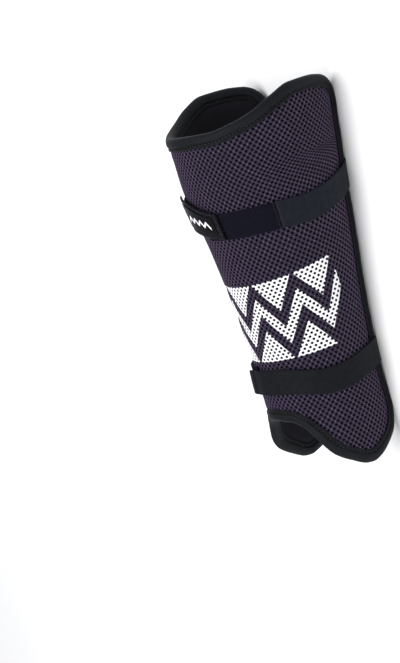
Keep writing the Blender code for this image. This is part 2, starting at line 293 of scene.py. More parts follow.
def bell(values, middle, width):
    """1 at the middle, falling smoothly to 0 on both sides."""
    return np.exp(-((values - middle) / width) ** 2)


def signed(angle):
    """Angle from the shin line, below 0 on the -X side."""
    return (angle + 180.0) % 360.0 - 180.0


def around(angle):
    """Angle from the shin line, the same on both sides of the leg."""
    return np.abs(signed(angle))


def half_depth(share):
    return KNEE_HALF_DEPTH * read(SECTIONS, share, 1)


def centre_height(share):
    return KNEE_HALF_DEPTH * read(SECTIONS, share, 2)


def beside(line, angle, offset):
    """Height share at an offset up the leg from a strap's centre line."""
    return read(line, angle) + offset / GUARD_LENGTH


def flare(angle, share):
    """How far the soft edges stand out from the plain section."""
    turned = around(angle)
    back = BACK_FLARE * eased(turned, BACK_FLARE_START_ANGLE, EDGE_ANGLE)
    beside_arch = bell(turned, ARCH_FLARE_ANGLE, ARCH_FLARE_SPREAD_ANGLE)
    arch = ARCH_FLARE * beside_arch * (1.0 - eased(share, *ARCH_FLARE_SHARES))
    front = 1.0 - eased(turned, *KNEE_FLARE_ANGLES)
    rim = KNEE_FLARE * front * eased(share, *KNEE_FLARE_SHARES)
    return back + arch + rim


def wrap(angle, share, lift):
    """Points round the leg, moved out from the padded surface by a lift."""
    angle, share, lift = np.broadcast_arrays(angle, share, lift)
    lift = lift + flare(angle, share)
    depth = half_depth(share)
    turn = np.radians(angle)
    normal_x = np.sin(turn) / WIDTH_SHARE
    normal_z = np.cos(turn)
    size = np.hypot(normal_x, normal_z)
    x = WIDTH_SHARE * depth * np.sin(turn) + lift * normal_x / size
    y = (share - 0.5) * GUARD_LENGTH
    z = centre_height(share) + depth * np.cos(turn) + lift * normal_z / size
    return np.stack((x, y, z), axis=-1)


def mean_radius(share):
    return half_depth(share) * (1.0 + WIDTH_SHARE) / 2.0


def to_flat(angle, share):
    """Lay surface places out flat: arc length round the leg, length along it."""
    angle, share = np.broadcast_arrays(angle, share)
    return np.stack((np.radians(angle) * mean_radius(share), share * GUARD_LENGTH), axis=-1)


def from_flat(flat):
    share = flat[..., 1] / GUARD_LENGTH
    return np.degrees(flat[..., 0] / mean_radius(share)), share


def along(points):
    """Length from the start of a polyline to each of its points."""
    steps = np.linalg.norm(np.diff(points, axis=0), axis=1)
    return np.concatenate(((0.0,), np.cumsum(steps)))


def spread(points, places):
    """Points at the given shares of a polyline's length."""
    run = along(points)
    return np.stack([np.interp(places * run[-1], run, column) for column in points.T], axis=-1)


def trimmed(points, cut):
    """A polyline without its last stretch."""
    run = along(points)[-1]
    return spread(points, np.linspace(0.0, 1.0 - cut / run, len(points)))


def bend(start, corner, end, steps):
    """Round corner from start to end."""
    pull = 0.56
    first = start + (corner - start) * pull
    second = end + (corner - end) * pull
    t = np.linspace(0.0, 1.0, steps + 1)[:, None]
    near = start * (1.0 - t) ** 3 + first * 3.0 * t * (1.0 - t) ** 2
    return near + second * 3.0 * t * t * (1.0 - t) + end * t ** 3


def evenly(t):
    return t


def toward_end(t):
    return 0.5 * t + 0.5 * np.sin(t * np.pi / 2.0)


def toward_both(t):
    return 0.45 * t + 0.55 * (0.5 - 0.5 * np.cos(t * np.pi))


def border(columns, rows, across=evenly, up=evenly):
    """The pad's border laid out flat, anticlockwise from the ankle corner on the -X side."""
    steps = 320
    bend_steps = 48
    half = bend_steps // 2
    t = np.linspace(0.0, 1.0, steps + 1)
    ankle = to_flat(t * EDGE_ANGLE, read(ANKLE_EDGE, t))
    knee = to_flat(t * EDGE_ANGLE, read(KNEE_EDGE, t))
    low = ANKLE_EDGE[-1][1]
    high = KNEE_EDGE[-1][1]
    side = to_flat(EDGE_ANGLE, low + (high - low) * t)
    ankle_corner = side[0]
    knee_corner = side[-1]
    ankle = trimmed(ankle, ANKLE_CORNER_RUN)
    knee = trimmed(knee, KNEE_CORNER_RUN)
    side = trimmed(side, KNEE_CORNER_RUN)
    side = trimmed(side[::-1], ANKLE_CORNER_RUN)[::-1]
    ankle_bend = bend(ankle[-1], ankle_corner, side[0], bend_steps)
    knee_bend = bend(side[-1], knee_corner, knee[-1], bend_steps)
    bottom = np.concatenate((ankle[:-1], ankle_bend[:half + 1]))
    middle = np.concatenate((ankle_bend[half:], side[1:-1], knee_bend[:half + 1]))
    top = np.concatenate((knee[:-1], knee_bend[:half - 1:-1]))
    bottom = spread(bottom, across(np.linspace(0.0, 1.0, columns + 1)))
    middle = spread(middle, up(np.linspace(0.0, 1.0, rows + 1)))
    top = spread(top, across(np.linspace(0.0, 1.0, columns + 1)))
    flip = np.array((-1.0, 1.0))
    return np.concatenate((
        bottom[::-1] * flip,
        bottom[1:],
        middle[1:],
        top[::-1][1:],
        top[1:] * flip,
        middle[::-1][1:-1] * flip,
    ))


def inward(loop):
    """Unit directions from a border loop into the pad."""
    before = loop - np.roll(loop, 1, axis=0)
    after = np.roll(loop, -1, axis=0) - loop
    before /= np.linalg.norm(before, axis=1)[:, None]
    after /= np.linalg.norm(after, axis=1)[:, None]
    way = before + after
    way /= np.linalg.norm(way, axis=1)[:, None]
    return np.stack((-way[:, 1], way[:, 0]), axis=-1)


def filled(loop, columns, rows):
    """Grid of flat places inside a border loop, blended from its four sides."""
    wide = 2 * columns
    bottom = loop[:wide + 1]
    right = loop[wide:wide + rows + 1]
    top = loop[wide + rows:2 * wide + rows + 1][::-1]
    left = np.concatenate((loop[2 * wide + rows:], loop[:1]))[::-1]
    u = np.linspace(0.0, 1.0, wide + 1)[None, :, None]
    v = np.linspace(0.0, 1.0, rows + 1)[:, None, None]
    grid = (1 - v) * bottom[None] + v * top[None] + (1 - u) * left[:, None] + u * right[:, None]
    grid -= (1 - u) * (1 - v) * bottom[0] + u * (1 - v) * bottom[-1]
    grid -= (1 - u) * v * top[0] + u * v * top[-1]
    return grid


class Chart:
    """Values over the flat layout, kept on a raster and read smoothly in between."""

    def __init__(self, low, high, cell):
        self.low = np.array(low)
        self.cell = cell
        counts = np.ceil((np.array(high) - self.low) / cell).astype(int) + 1
        steps = [self.low[axis] + cell * np.arange(counts[axis]) for axis in (0, 1)]
        self.places = np.stack(np.meshgrid(*steps, indexing="ij"), axis=-1)
        self.values = np.zeros(self.places.shape[:2])

    def read(self, flat):
        place = (flat - self.low) / self.cell
        last = np.array(self.values.shape) - 1.001
        place = np.clip(place, 0.0, last)
        index = place.astype(int)
        u = place[..., 0] - index[..., 0]
        v = place[..., 1] - index[..., 1]
        i = index[..., 0]
        j = index[..., 1]
        near = self.values[i, j] * (1 - u) + self.values[i + 1, j] * u
        far = self.values[i, j + 1] * (1 - u) + self.values[i + 1, j + 1] * u
        return near * (1 - v) + far * v


def chart_of_inset(cell=2.0 * MM, margin=20.0 * MM):
    """How far each flat place lies inside the pad's border."""
    loop = border(columns=110, rows=70)
    blocks = 40
    chart = Chart(loop.min(axis=0) - margin, loop.max(axis=0) + margin, cell)
    places = chart.places.reshape(-1, 2)
    start = loop
    end = np.roll(loop, -1, axis=0)
    run = end - start
    size = (run * run).sum(axis=1)
    found = []
    for block in np.array_split(places, blocks):
        offset = block[:, None] - start[None]
        t = np.clip((offset * run).sum(axis=2) / size, 0.0, 1.0)
        near = np.linalg.norm(offset - t[..., None] * run, axis=2).min(axis=1)
        level = block[:, None, 1]
        spans = (start[None, :, 1] > level) != (end[None, :, 1] > level)
        rise = np.where(run[:, 1] == 0.0, 1.0, run[:, 1])
        crossing = start[:, 0] + (level - start[:, 1]) / rise * run[:, 0]
        inside = (spans & (block[:, None, 0] < crossing)).sum(axis=1) % 2 == 1
        found.append(np.where(inside, near, -near))
    chart.values = np.concatenate(found).reshape(chart.values.shape)
    return chart


class Threads:
    """Where the cloth's straight threads lie when the cloth is smoothed round the leg.

    A cloth place is a distance across from the shin line and a length along that line.
    """

    step = 2.0 * MM
    low = -70.0 * MM
    high = 320.0 * MM
    reach = 200.0 * MM
    # Height shares of the line along the shin, which runs on beyond the guard
    line_shares = (-0.3, 1.1)

    def __init__(self):
        share = np.linspace(*self.line_shares, 1401)
        line = wrap_base(np.zeros_like(share), share)
        run = along(line)
        run -= np.interp(0.0, share, run)
        places = np.arange(self.low, self.high, self.step)
        angle = np.zeros_like(places)
        share = np.interp(places, run, share)
        way = np.tile((1.0, 0.0, 0.0), (len(places), 1))
        self.angles = [angle]
        self.shares = [share]
        for _ in range(int(self.reach / self.step)):
            turn, move = self.moved(angle, share, way, self.step / 2.0)
            way = self.along_surface(angle + turn, share + move, way)
            turn, move = self.moved(angle + turn, share + move, way, self.step)
            angle = angle + turn
            share = share + move
            way = self.along_surface(angle, share, way)
            self.angles.append(angle)
            self.shares.append(share)
        self.angles = np.array(self.angles)
        self.shares = np.array(self.shares)

    def slopes(self, angle, share):
        tiny = 1e-4
        round_leg = (wrap_base(angle + tiny, share) - wrap_base(angle - tiny, share)) / (2 * tiny)
        up_leg = (wrap_base(angle, share + tiny) - wrap_base(angle, share - tiny)) / (2 * tiny)
        return round_leg, up_leg

    def moved(self, angle, share, way, length):
        """Change of angle and share over a short straight length."""
        a, b = self.slopes(angle, share)
        aa = (a * a).sum(axis=1)
        ab = (a * b).sum(axis=1)
        bb = (b * b).sum(axis=1)
        aw = (a * way).sum(axis=1) * length
        bw = (b * way).sum(axis=1) * length
        size = aa * bb - ab * ab
        return (bb * aw - ab * bw) / size, (aa * bw - ab * aw) / size

    def along_surface(self, angle, share, way):
        a, b = self.slopes(angle, share)
        normal = np.cross(a, b)
        normal /= np.linalg.norm(normal, axis=1)[:, None]
        way = way - (way * normal).sum(axis=1)[:, None] * normal
        return way / np.linalg.norm(way, axis=1)[:, None]

    def find(self, cloth):
        """Angle and share of cloth places."""
        row = np.clip(np.abs(cloth[..., 0]) / self.step, 0.0, len(self.angles) - 1.001)
        column = (cloth[..., 1] - self.low) / self.step
        column = np.clip(column, 0.0, self.angles.shape[1] - 1.001)
        i = row.astype(int)
        j = column.astype(int)
        u = row - i
        v = column - j
        found = []
        for table in (self.angles, self.shares):
            near = table[i, j] * (1 - u) + table[i + 1, j] * u
            far = table[i, j + 1] * (1 - u) + table[i + 1, j + 1] * u
            found.append(near * (1 - v) + far * v)
        side = np.where(cloth[..., 0] < 0.0, -1.0, 1.0)
        return np.degrees(found[0]) * side, found[1]


def wrap_base(turn, share):
    """The plain section without its flares. The turn is in radians."""
    depth = half_depth(share)
    x = WIDTH_SHARE * depth * np.sin(turn)
    y = (share - 0.5) * GUARD_LENGTH
    z = centre_height(share) + depth * np.cos(turn)
    return np.stack((x, y, z), axis=-1)


def uneven(places, *waves):
    """Slow irregular waves. Each wave is a length, a height and a phase."""
    return sum(height * np.sin(places * 2.0 * np.pi / length + phase)
               for length, height, phase in waves)


def add_piece(name, mesh):
    piece = bpy.data.objects.new(name, mesh)
    bpy.context.scene.collection.objects.link(piece)
    return piece


def plain_piece(name, points, faces):
    mesh = bpy.data.meshes.new(name)
    mesh.from_pydata(np.asarray(points).reshape(-1, 3).tolist(), [], faces)
    return add_piece(name, mesh)


def set_cloth_map(mesh, places):
    """Keep each corner's flat place, one unit for 100 mm."""
    layer = mesh.uv_layers.new(name="cloth")
    layer.data.foreach_set("uv", (np.asarray(places) / UV_UNIT).astype(np.float32).ravel())


def corners_of(mesh):
    corners = np.empty(len(mesh.loops), dtype=np.int32)
    mesh.loops.foreach_get("vertex_index", corners)
    return corners


def points_of(mesh):
    points = np.empty(len(mesh.vertices) * 3)
    mesh.vertices.foreach_get("co", points)
    return points.reshape(-1, 3)


def make_piece(name, points, faces, flat, material):
    """Closed smooth mesh with its flat places. Doubled points along seams are merged."""
    mesh = bpy.data.meshes.new(name)
    mesh.from_pydata(np.asarray(points).reshape(-1, 3).tolist(), [], faces)
    set_cloth_map(mesh, np.asarray(flat).reshape(-1, 2)[corners_of(mesh)])
    editor = bmesh.new()
    editor.from_mesh(mesh)
    bmesh.ops.remove_doubles(editor, verts=editor.verts, dist=SEAM_WELD)
    bmesh.ops.dissolve_degenerate(editor, edges=editor.edges, dist=SEAM_WELD)
    bmesh.ops.recalc_face_normals(editor, faces=editor.faces)
    editor.to_mesh(mesh)
    editor.free()
    mesh.shade_smooth()
    mesh.materials.append(material)
    return add_piece(name, mesh)


def quads(rows, columns):
    """Faces of a grid of points held row by row."""
    faces = []
    for row in range(rows - 1):
        for column in range(columns - 1):
            here = row * columns + column
            faces.append((here, here + 1, here + columns + 1, here + columns))
    return faces


def ring_faces(rings, count):
    """Faces between closed rings of points held ring by ring."""
    faces = []
    for here in range(0, (rings - 1) * count, count):
        for index in range(count):
            after = (index + 1) % count
            faces.append((here + index, here + after, here + count + after, here + count + index))
    return faces


def add(tree, kind, *inputs, named=(), **settings):
    """Add a node. An input is a value, a socket or a node, whose first output is taken."""
    node = tree.nodes.new(kind)
    for name, value in settings.items():
        setattr(node, name, value)
    for key, value in list(enumerate(inputs)) + list(dict(named).items()):
        if value is None:
            continue
        if isinstance(value, bpy.types.Node):
            value = value.outputs[0]
        if isinstance(value, bpy.types.NodeSocket):
            tree.links.new(value, node.inputs[key])
        else:
            node.inputs[key].default_value = value
    return node


def new_tree(name, sizes):
    """Geometry tree with named inputs, each a label and a socket type."""
    tree = bpy.data.node_groups.new(name, "GeometryNodeTree")
    for label, kind in (("Geometry", "NodeSocketGeometry"),) + sizes:
        tree.interface.new_socket(name=label, in_out="INPUT", socket_type=kind)
    tree.interface.new_socket(name="Geometry", in_out="OUTPUT", socket_type="NodeSocketGeometry")
    source = add(tree, "NodeGroupInput")
    return tree, source.outputs


def finish_tree(tree, source, shape):
    real = add(tree, "GeometryNodeRealizeInstances", shape)
    finished = add(tree, "GeometryNodeSetMaterial", real, named={"Material": source["Material"]})
    add(tree, "NodeGroupOutput", finished)


def grown(name, points, edges, faces, tree, values):
    """Run a tree on a base mesh and keep the plain mesh that it makes."""
    base = bpy.data.meshes.new(name + "_base")
    base.from_pydata(np.asarray(points).reshape(-1, 3).tolist(), edges, faces)
    piece = add_piece(name, base)
    modifier = piece.modifiers.new("growth", "NODES")
    modifier.node_group = tree
    for item in tree.interface.items_tree:
        if item.in_out == "INPUT" and item.name in values:
            modifier[item.identifier] = values[item.name]
    bpy.context.view_layer.update()
    depsgraph = bpy.context.evaluated_depsgraph_get()
    mesh = bpy.data.meshes.new_from_object(
        piece.evaluated_get(depsgraph), preserve_all_data_layers=True, depsgraph=depsgraph)
    piece.modifiers.remove(modifier)
    piece.data = mesh
    mesh.name = name
    mesh.shade_smooth()
    return piece


def copies_tree():
    """A copy of one shape at each point, welded to its neighbours."""
    tree, source = new_tree("copies", (
        ("Shape", "NodeSocketObject"),
        ("Weld", "NodeSocketFloat"),
        ("Material", "NodeSocketMaterial"),
    ))
    shape = add(tree, "GeometryNodeObjectInfo", source["Shape"])
    placed = add(tree, "GeometryNodeInstanceOnPoints", source["Geometry"],
                 named={"Instance": shape.outputs["Geometry"]})
    real = add(tree, "GeometryNodeRealizeInstances", placed)
    welded = add(tree, "GeometryNodeMergeByDistance", real, named={"Distance": source["Weld"]})
    finish_tree(tree, source, welded)
    return tree


def stitches_tree():
    """Short rounded stitches, evenly spaced along lines."""
    tree, source = new_tree("stitches", (
        ("Pitch", "NodeSocketFloat"),
        ("Length", "NodeSocketFloat"),
        ("Thread", "NodeSocketFloat"),
        ("Material", "NodeSocketMaterial"),
    ))
    line = add(tree, "GeometryNodeMeshToCurve", source["Geometry"])
    places = add(tree, "GeometryNodeResampleCurve", line, mode="LENGTH",
                 named={"Length": source["Pitch"]})
    stitch = add(tree, "GeometryNodeMeshUVSphere", 7, 5, 0.5)
    tangent = add(tree, "GeometryNodeInputTangent")
    turn = add(tree, "FunctionNodeAlignRotationToVector", None, None, tangent, axis="Z")
    size = add(tree, "ShaderNodeCombineXYZ", source["Thread"], source["Thread"], source["Length"])
    placed = add(tree, "GeometryNodeInstanceOnPoints", places,
                 named={"Instance": stitch.outputs["Mesh"], "Rotation": turn, "Scale": size})
    finish_tree(tree, source, placed)
    return tree


def pile_tree():
    """Tiny thread loops scattered over a surface, each turned at random."""
    tree, source = new_tree("pile", (
        ("Loop", "NodeSocketObject"),
        ("Loops per square metre", "NodeSocketFloat"),
        ("Seed", "NodeSocketInt"),
        ("Material", "NodeSocketMaterial"),
    ))
    loop = add(tree, "GeometryNodeObjectInfo", source["Loop"])
    spots = add(tree, "GeometryNodeDistributePointsOnFaces", source["Geometry"],
                named={"Density": source["Loops per square metre"], "Seed": source["Seed"]})
    turn = add(tree, "FunctionNodeRandomValue", None, None, 0.0, 6.28318, data_type="FLOAT",
               named={"Seed": source["Seed"]})
    spin = add(tree, "FunctionNodeAxisAngleToRotation", (0.0, 0.0, 1.0), turn.outputs[1])
    facing = add(tree, "FunctionNodeRotateRotation", spots.outputs["Rotation"], spin,
                 rotation_space="LOCAL")
    size = add(tree, "FunctionNodeRandomValue", None, None, 0.7, 1.25, data_type="FLOAT",
               named={"Seed": source["Seed"]})
    placed = add(tree, "GeometryNodeInstanceOnPoints", spots,
                 named={"Instance": loop.outputs["Geometry"], "Rotation": facing,
                        "Scale": size.outputs[1]})
    finish_tree(tree, source, placed)
    return tree


def paint(hex_colour):
    """Linear colour from an sRGB hex value."""
    parts = [int(hex_colour[i:i + 2], 16) / 255.0 for i in (1, 3, 5)]
    linear = [c / 12.92 if c <= 0.04045 else ((c + 0.055) / 1.055) ** 2.4 for c in parts]
    return (*linear, 1.0)


def new_material(name, colour, roughness, specular, sheen=(0.0, 0.4, "#FFFFFF")):
    """Plain starting material, with its constants on the shader's own sockets.

    The sheen is its weight, roughness and tint.
    """
    material = bpy.data.materials.new(name)
    material.use_nodes = True
    tree = material.node_tree
    shader = tree.nodes["Principled BSDF"]
    sheen_weight, sheen_roughness, sheen_tint = sheen
    shader.inputs["Base Color"].default_value = paint(colour)
    shader.inputs["Roughness"].default_value = roughness
    shader.inputs["Specular IOR Level"].default_value = specular
    shader.inputs["Sheen Weight"].default_value = sheen_weight
    shader.inputs["Sheen Roughness"].default_value = sheen_roughness
    shader.inputs["Sheen Tint"].default_value = paint(sheen_tint)
    return material, tree, shader


def calculate(tree, operation, *inputs):
    return add(tree, "ShaderNodeMath", *inputs, operation=operation)


def speckle(tree, place, scale, detail):
    """Irregular values from 0 to 1, with about as many blots to a unit of place as the scale."""
    return add(tree, "ShaderNodeTexNoise", place, named={"Scale": scale, "Detail": detail})


def object_place(tree):
    return add(tree, "ShaderNodeTexCoord").outputs["Object"]


def cloth_millimetres(tree):
    """Flat place on the cloth in millimetres, with its two parts."""
    unit = UV_UNIT / MM
    place = add(tree, "ShaderNodeUVMap", uv_map="cloth")
    scaled = add(tree, "ShaderNodeVectorMath", place, (unit, unit, 0.0), operation="MULTIPLY")
    parts = add(tree, "ShaderNodeSeparateXYZ", scaled)
    return scaled, parts.outputs["X"], parts.outputs["Y"]


def set_bump(tree, shader, height, depth, strength):
    bump = add(tree, "ShaderNodeBump", strength, depth, named={"Height": height})
    tree.links.new(bump.outputs["Normal"], shader.inputs["Normal"])


def set_colour(tree, shader, colour):
    tree.links.new(colour, shader.inputs["Base Color"])


def blend(tree, first, second, share):
    """Mix of two colours, each a hex value or a socket."""
    first, second = [paint(tone) if isinstance(tone, str) else tone for tone in (first, second)]
    return add(tree, "ShaderNodeMix", named={0: share, 6: first, 7: second},
               data_type="RGBA").outputs[2]


def shaded(tree, colour, share):
    """A colour darkened to a share of itself."""
    return add(tree, "ShaderNodeVectorMath", colour, named={"Scale": share},
               operation="SCALE").outputs[0]


def ridges(tree, place, pitch):
    """Height from 0 to 1 of round ridges across a place measured in millimetres."""
    turned = calculate(tree, "MULTIPLY", place, 2.0 * math.pi / pitch)
    return calculate(tree, "MULTIPLY_ADD", calculate(tree, "SINE", turned), 0.5, 0.5)


# Outer face of the folded tape in section, from its lip to its nose
# inset from the border and lift, in millimetres
TAPE_OUTER = (
    (9.7, -1.02),
    (10.15, -0.80),
    (10.15, -0.35),
    (9.85, -0.02),
    (9.2, 0.12),
    (8.75, 0.02),
    (8.15, -0.50),
    (7.7, -0.72),
    (7.25, -0.50),
    (6.7, 0.04),
    (6.2, 0.34),
    (5.2, 0.45),
    (4.2, 0.28),
)
STITCH_INSET = 7.7 * MM
STITCH_GROOVE_WIDTH = 0.5 * MM
TAPE_CREST_INSET = 5.2 * MM
TAPE_CREST_WIDTH = 1.8 * MM
TAPE_FACE_DEPTH = 0.9 * MM
TAPE_ROLL_INSET = 4.2 * MM
TAPE_ROLL_WIDTH = 2.7 * MM
TAPE_BULGE = 1.2 * MM
TAPE_BULGE_ANGLES = (112.0, 130.0)
LIP_INSET = 9.0 * MM
LIP_WANDER = 0.10 * MM
LIP_WAVES = 83.0
LIP_PHASE = 2.0
# Uneven fullness: waves round the whole border, height in millimetres, phase
TAPE_PUFFS = (
    (37.0, 0.11, 0.0),
    (61.0, 0.08, 1.3),
    (113.0, 0.05, 0.5),
)


def tape_section():
    """Closed section of the tape as insets and lifts, with the hollow that holds the foam."""
    middle = -WALL / MM / 2.0

    def arc(inset, across, deep, angles):
        turn = np.radians(angles)
        return np.column_stack((inset + across * np.cos(turn), middle + deep * np.sin(turn)))

    outer = np.array(TAPE_OUTER)
    nose = arc(4.0, 4.1, 4.2, np.arange(105.0, 256.0, 15.0))
    inner = outer[::-1] * (1.0, -1.0) + (0.0, 2.0 * middle)
    hollow = arc(4.2, 3.0, 3.0, np.arange(255.0, 104.0, -30.0))
    return np.concatenate((outer, nose, inner, hollow, outer[:1])) * MM


def groove_places():
    """Where the two stitched grooves lie round the section, in millimetres."""
    inset, lift = tape_section().T
    places = along(tape_section()) / MM
    found = []
    for outside in (lift > -WALL / 2.0, lift <= -WALL / 2.0):
        off = np.where(outside, np.abs(inset - STITCH_INSET), 1.0)
        found.append(float(places[np.argmin(off)]))
    return found


# Print on the mesh, in millimetres: a folk border, a zigzag between two rows of triangles
PRINT_WIDTH = 176.0
PRINT_MIDDLE = 124.0
PRINT_HALF_HEIGHT = 31.0
ZIGZAG_PERIOD = PRINT_WIDTH / 5.0
ZIGZAG_RISE = 26.0
ZIGZAG_HALF = 6.6
TRIANGLE_GAP = 19.5
PRINT_RAGGEDNESS = 1.1


def print_mask(tree, place, across, up):
    """1 where white ink lies."""
    shake = calculate(tree, "SUBTRACT", speckle(tree, place, 0.8, 1.0), 0.5)
    up = calculate(tree, "MULTIPLY_ADD", shake, PRINT_RAGGEDNESS, up)
    bent = calculate(tree, "PINGPONG", across, ZIGZAG_PERIOD / 2.0)
    slope = ZIGZAG_RISE * 2.0 / ZIGZAG_PERIOD
    line = calculate(tree, "MULTIPLY_ADD", bent, slope, PRINT_MIDDLE - ZIGZAG_RISE / 2.0)
    above = calculate(tree, "SUBTRACT", up, line)
    reach = PRINT_WIDTH / 2.0
    rows = (
        (calculate(tree, "GREATER_THAN", above, TRIANGLE_GAP), reach),
        (calculate(tree, "COMPARE", above, 0.0, ZIGZAG_HALF), reach),
        (calculate(tree, "LESS_THAN", above, -TRIANGLE_GAP), reach - ZIGZAG_PERIOD / 2.0),
    )
    inside = calculate(tree, "COMPARE", up, PRINT_MIDDLE, PRINT_HALF_HEIGHT)
    ink = 0.0
    for row, row_reach in rows:
        near = calculate(tree, "COMPARE", across, 0.0, row_reach)
        row = calculate(tree, "MULTIPLY", row, near)
        ink = calculate(tree, "MAXIMUM", row, ink)
    return calculate(tree, "MULTIPLY", ink, inside)


def knitted_mesh():
    """Polyester spacer mesh, warp knitted: soft matt strands with a faint violet bloom.

    The white print is thick plastic ink on top of the strands, and the hole walls are painted
    darker with their depth, as shade.
    """
    material, tree, shader = new_material(
        "knitted_polyester_mesh", "#33293B", 0.62, 0.16, (0.18, 0.4, "#BA92C0"))
    place, across, up = cloth_millimetres(tree)
    sunk = add(tree, "ShaderNodeAttribute", attribute_name="sunk").outputs["Fac"]

    # Lattice places run from hole to hole along the two strand directions
    u = calculate(tree, "MULTIPLY", across, 1.0 / (HOLE_PITCH / MM))
    v = calculate(tree, "MULTIPLY", up, 0.5 / (ROW_PITCH / MM))
    rising = calculate(tree, "ADD", u, v)
    falling = calculate(tree, "SUBTRACT", u, v)
    off_rising = calculate(tree, "PINGPONG", rising, 0.5)
    off_falling = calculate(tree, "PINGPONG", falling, 0.5)
    choose = calculate(tree, "GREATER_THAN", off_rising, off_falling)
    # Twisted yarn: fine slanted ridges about 0.4 mm apart, drawn a little coarse
    along_turns = 2.0 * math.pi * 5.0
    across_turns = 2.0 * math.pi * 6.0
    slants = []
    for lead, other in ((rising, falling), (falling, rising)):
        turned = calculate(tree, "MULTIPLY", lead, along_turns)
        slant = calculate(tree, "MULTIPLY_ADD", other, across_turns, turned)
        slants.append(calculate(tree, "SINE", slant))
    yarn = add(tree, "ShaderNodeMix", choose, None, slants[1], slants[0], data_type="FLOAT")
    fuzz = speckle(tree, place, 2.6, 3.0)
    height = calculate(tree, "MULTIPLY_ADD", fuzz, 1.2, yarn)
    set_bump(tree, shader, height, 0.08 * MM, 0.8)

    cloth = blend(tree, "#2D2539", "#3A3249", speckle(tree, place, 0.07, 2.0))
    # Painted highlights: knots where the strands meet are painted paler, as if catching the
    # light, some more than others
    knots = calculate(tree, "MULTIPLY", off_rising, off_falling)
    knots = add(tree, "ShaderNodeMapRange", knots, 0.165, 0.24, 0.0, 1.0,
                interpolation_type="SMOOTHSTEP")
    highlight_strength = add(tree, "ShaderNodeMapRange", speckle(tree, place, 0.45, 2.0), 0.40, 0.66, 0.15, 1.0)
    cloth = blend(tree, cloth, "#9C93AA", calculate(tree, "MULTIPLY", knots, highlight_strength))
    # Painted shade: down the hole walls the strands are darkened with depth, to a tenth at the
    # bottom
    depth = calculate(tree, "POWER", sunk, 0.6)
    cloth = shaded(tree, cloth, calculate(tree, "MULTIPLY_ADD", depth, -0.9, 1.0))
    # The thick ink rounds into the holes and narrows them
    shallow = calculate(tree, "LESS_THAN", sunk, 0.7)
    ink = calculate(tree, "MULTIPLY", print_mask(tree, place, across, up), shallow)
    set_colour(tree, shader, blend(tree, cloth, "#F2F2F5", ink))
    return material


def foam_backing():
    """Black polyester backing over foam, seen only at the bottom of the mesh's holes."""
    material, tree, shader = new_material("black_foam_backing", "#0C0A10", 0.9, 0.05)
    place = object_place(tree)
    grain = speckle(tree, place, 900.0, 2.0)
    set_bump(tree, shader, grain, 0.1 * MM, 0.5)
    set_colour(tree, shader, blend(tree, "#09080C", "#110F16", grain))
    return material


def brushed_lining():
    """Brushed nylon tricot: deep black with a short dull nap."""
    material, tree, shader = new_material(
        "brushed_tricot_lining", "#101014", 0.9, 0.08, (0.12, 0.6, "#8A8A98"))
    place, across, _ = cloth_millimetres(tree)
    nap = speckle(tree, place, 1.5, 4.0)
    height = calculate(tree, "MULTIPLY_ADD", ridges(tree, across, 0.9), 0.35, nap)
    set_bump(tree, shader, height, 0.12 * MM, 0.7)
    set_colour(tree, shader, blend(tree, "#0C0C0F", "#18181D", nap))
    return material


def woven_tape():
    """Polyester herringbone tape: black with a faint silky cast, worn paler in places."""
    material, tree, shader = new_material(
        "woven_binding_tape", "#0F1116", 0.6, 0.11, (0.07, 0.35, "#B0B2BC"))
    place, run, across = cloth_millimetres(tree)
    # Herringbone: the slant of the fine ribs turns back every 1.2 mm
    back_and_forth = calculate(tree, "PINGPONG", across, 1.2)
    slanted = calculate(tree, "MULTIPLY_ADD", back_and_forth, 1.1, run)
    twill = ridges(tree, slanted, 0.75)
    height = calculate(tree, "MULTIPLY_ADD", speckle(tree, place, 2.2, 3.0), 0.8, twill)
    set_bump(tree, shader, height, 0.07 * MM, 0.8)
    worn = speckle(tree, place, 0.12, 3.0)
    tone = calculate(tree, "MULTIPLY_ADD", twill, 0.35, worn)
    colour = blend(tree, "#07080B", "#14161B", tone)
    # Painted shade: the tape is darkened along its two stitched grooves, to a tenth at a groove's
    # middle
    nearest = 10.0
    for groove in groove_places():
        off = calculate(tree, "SUBTRACT", across, groove)
        off = calculate(tree, "ABSOLUTE", off)
        nearest = calculate(tree, "MINIMUM", off, nearest)
    shade = add(tree, "ShaderNodeMapRange", nearest, 0.4, 1.6, 0.1, 1.0,
                interpolation_type="SMOOTHSTEP")
    set_colour(tree, shader, shaded(tree, colour, shade))
    return material


def ribbed_elastic(name, dark, light):
    """Woven elastic: covered rubber cords run along it, with fine picks across."""
    material, tree, shader = new_material(name, dark, 0.6, 0.11, (0.07, 0.35, "#A9B0C0"))
    place, run, across = cloth_millimetres(tree)
    picks = ridges(tree, run, 0.62)
    cords = ridges(tree, across, 1.0)
    fibre = speckle(tree, place, 1.8, 3.0)
    height = calculate(tree, "MULTIPLY_ADD", picks, 0.8, cords)
    height = calculate(tree, "MULTIPLY_ADD", fibre, 0.6, height)
    set_bump(tree, shader, height, 0.10 * MM, 0.8)
    tone = calculate(tree, "MULTIPLY_ADD", cords, 0.3, speckle(tree, place, 0.22, 4.0))
    tone = add(tree, "ShaderNodeMapRange", tone, 0.35, 0.95, 0.0, 1.0)
    set_colour(tree, shader, blend(tree, dark, light, tone))
    return material


def loop_pile():
    """Nylon loop pile: a darker, fuzzy face that scatters light at its rim."""
    material, tree, shader = new_material(
        "nylon_loop_pile", "#080811", 0.85, 0.06, (0.14, 0.5, "#7C7C98"))
    place = object_place(tree)
    tuft = speckle(tree, place, 700.0, 3.0)
    set_bump(tree, shader, tuft, 0.25 * MM, 0.8)
    set_colour(tree, shader, blend(tree, "#080811", "#12111E", tuft))
    return material


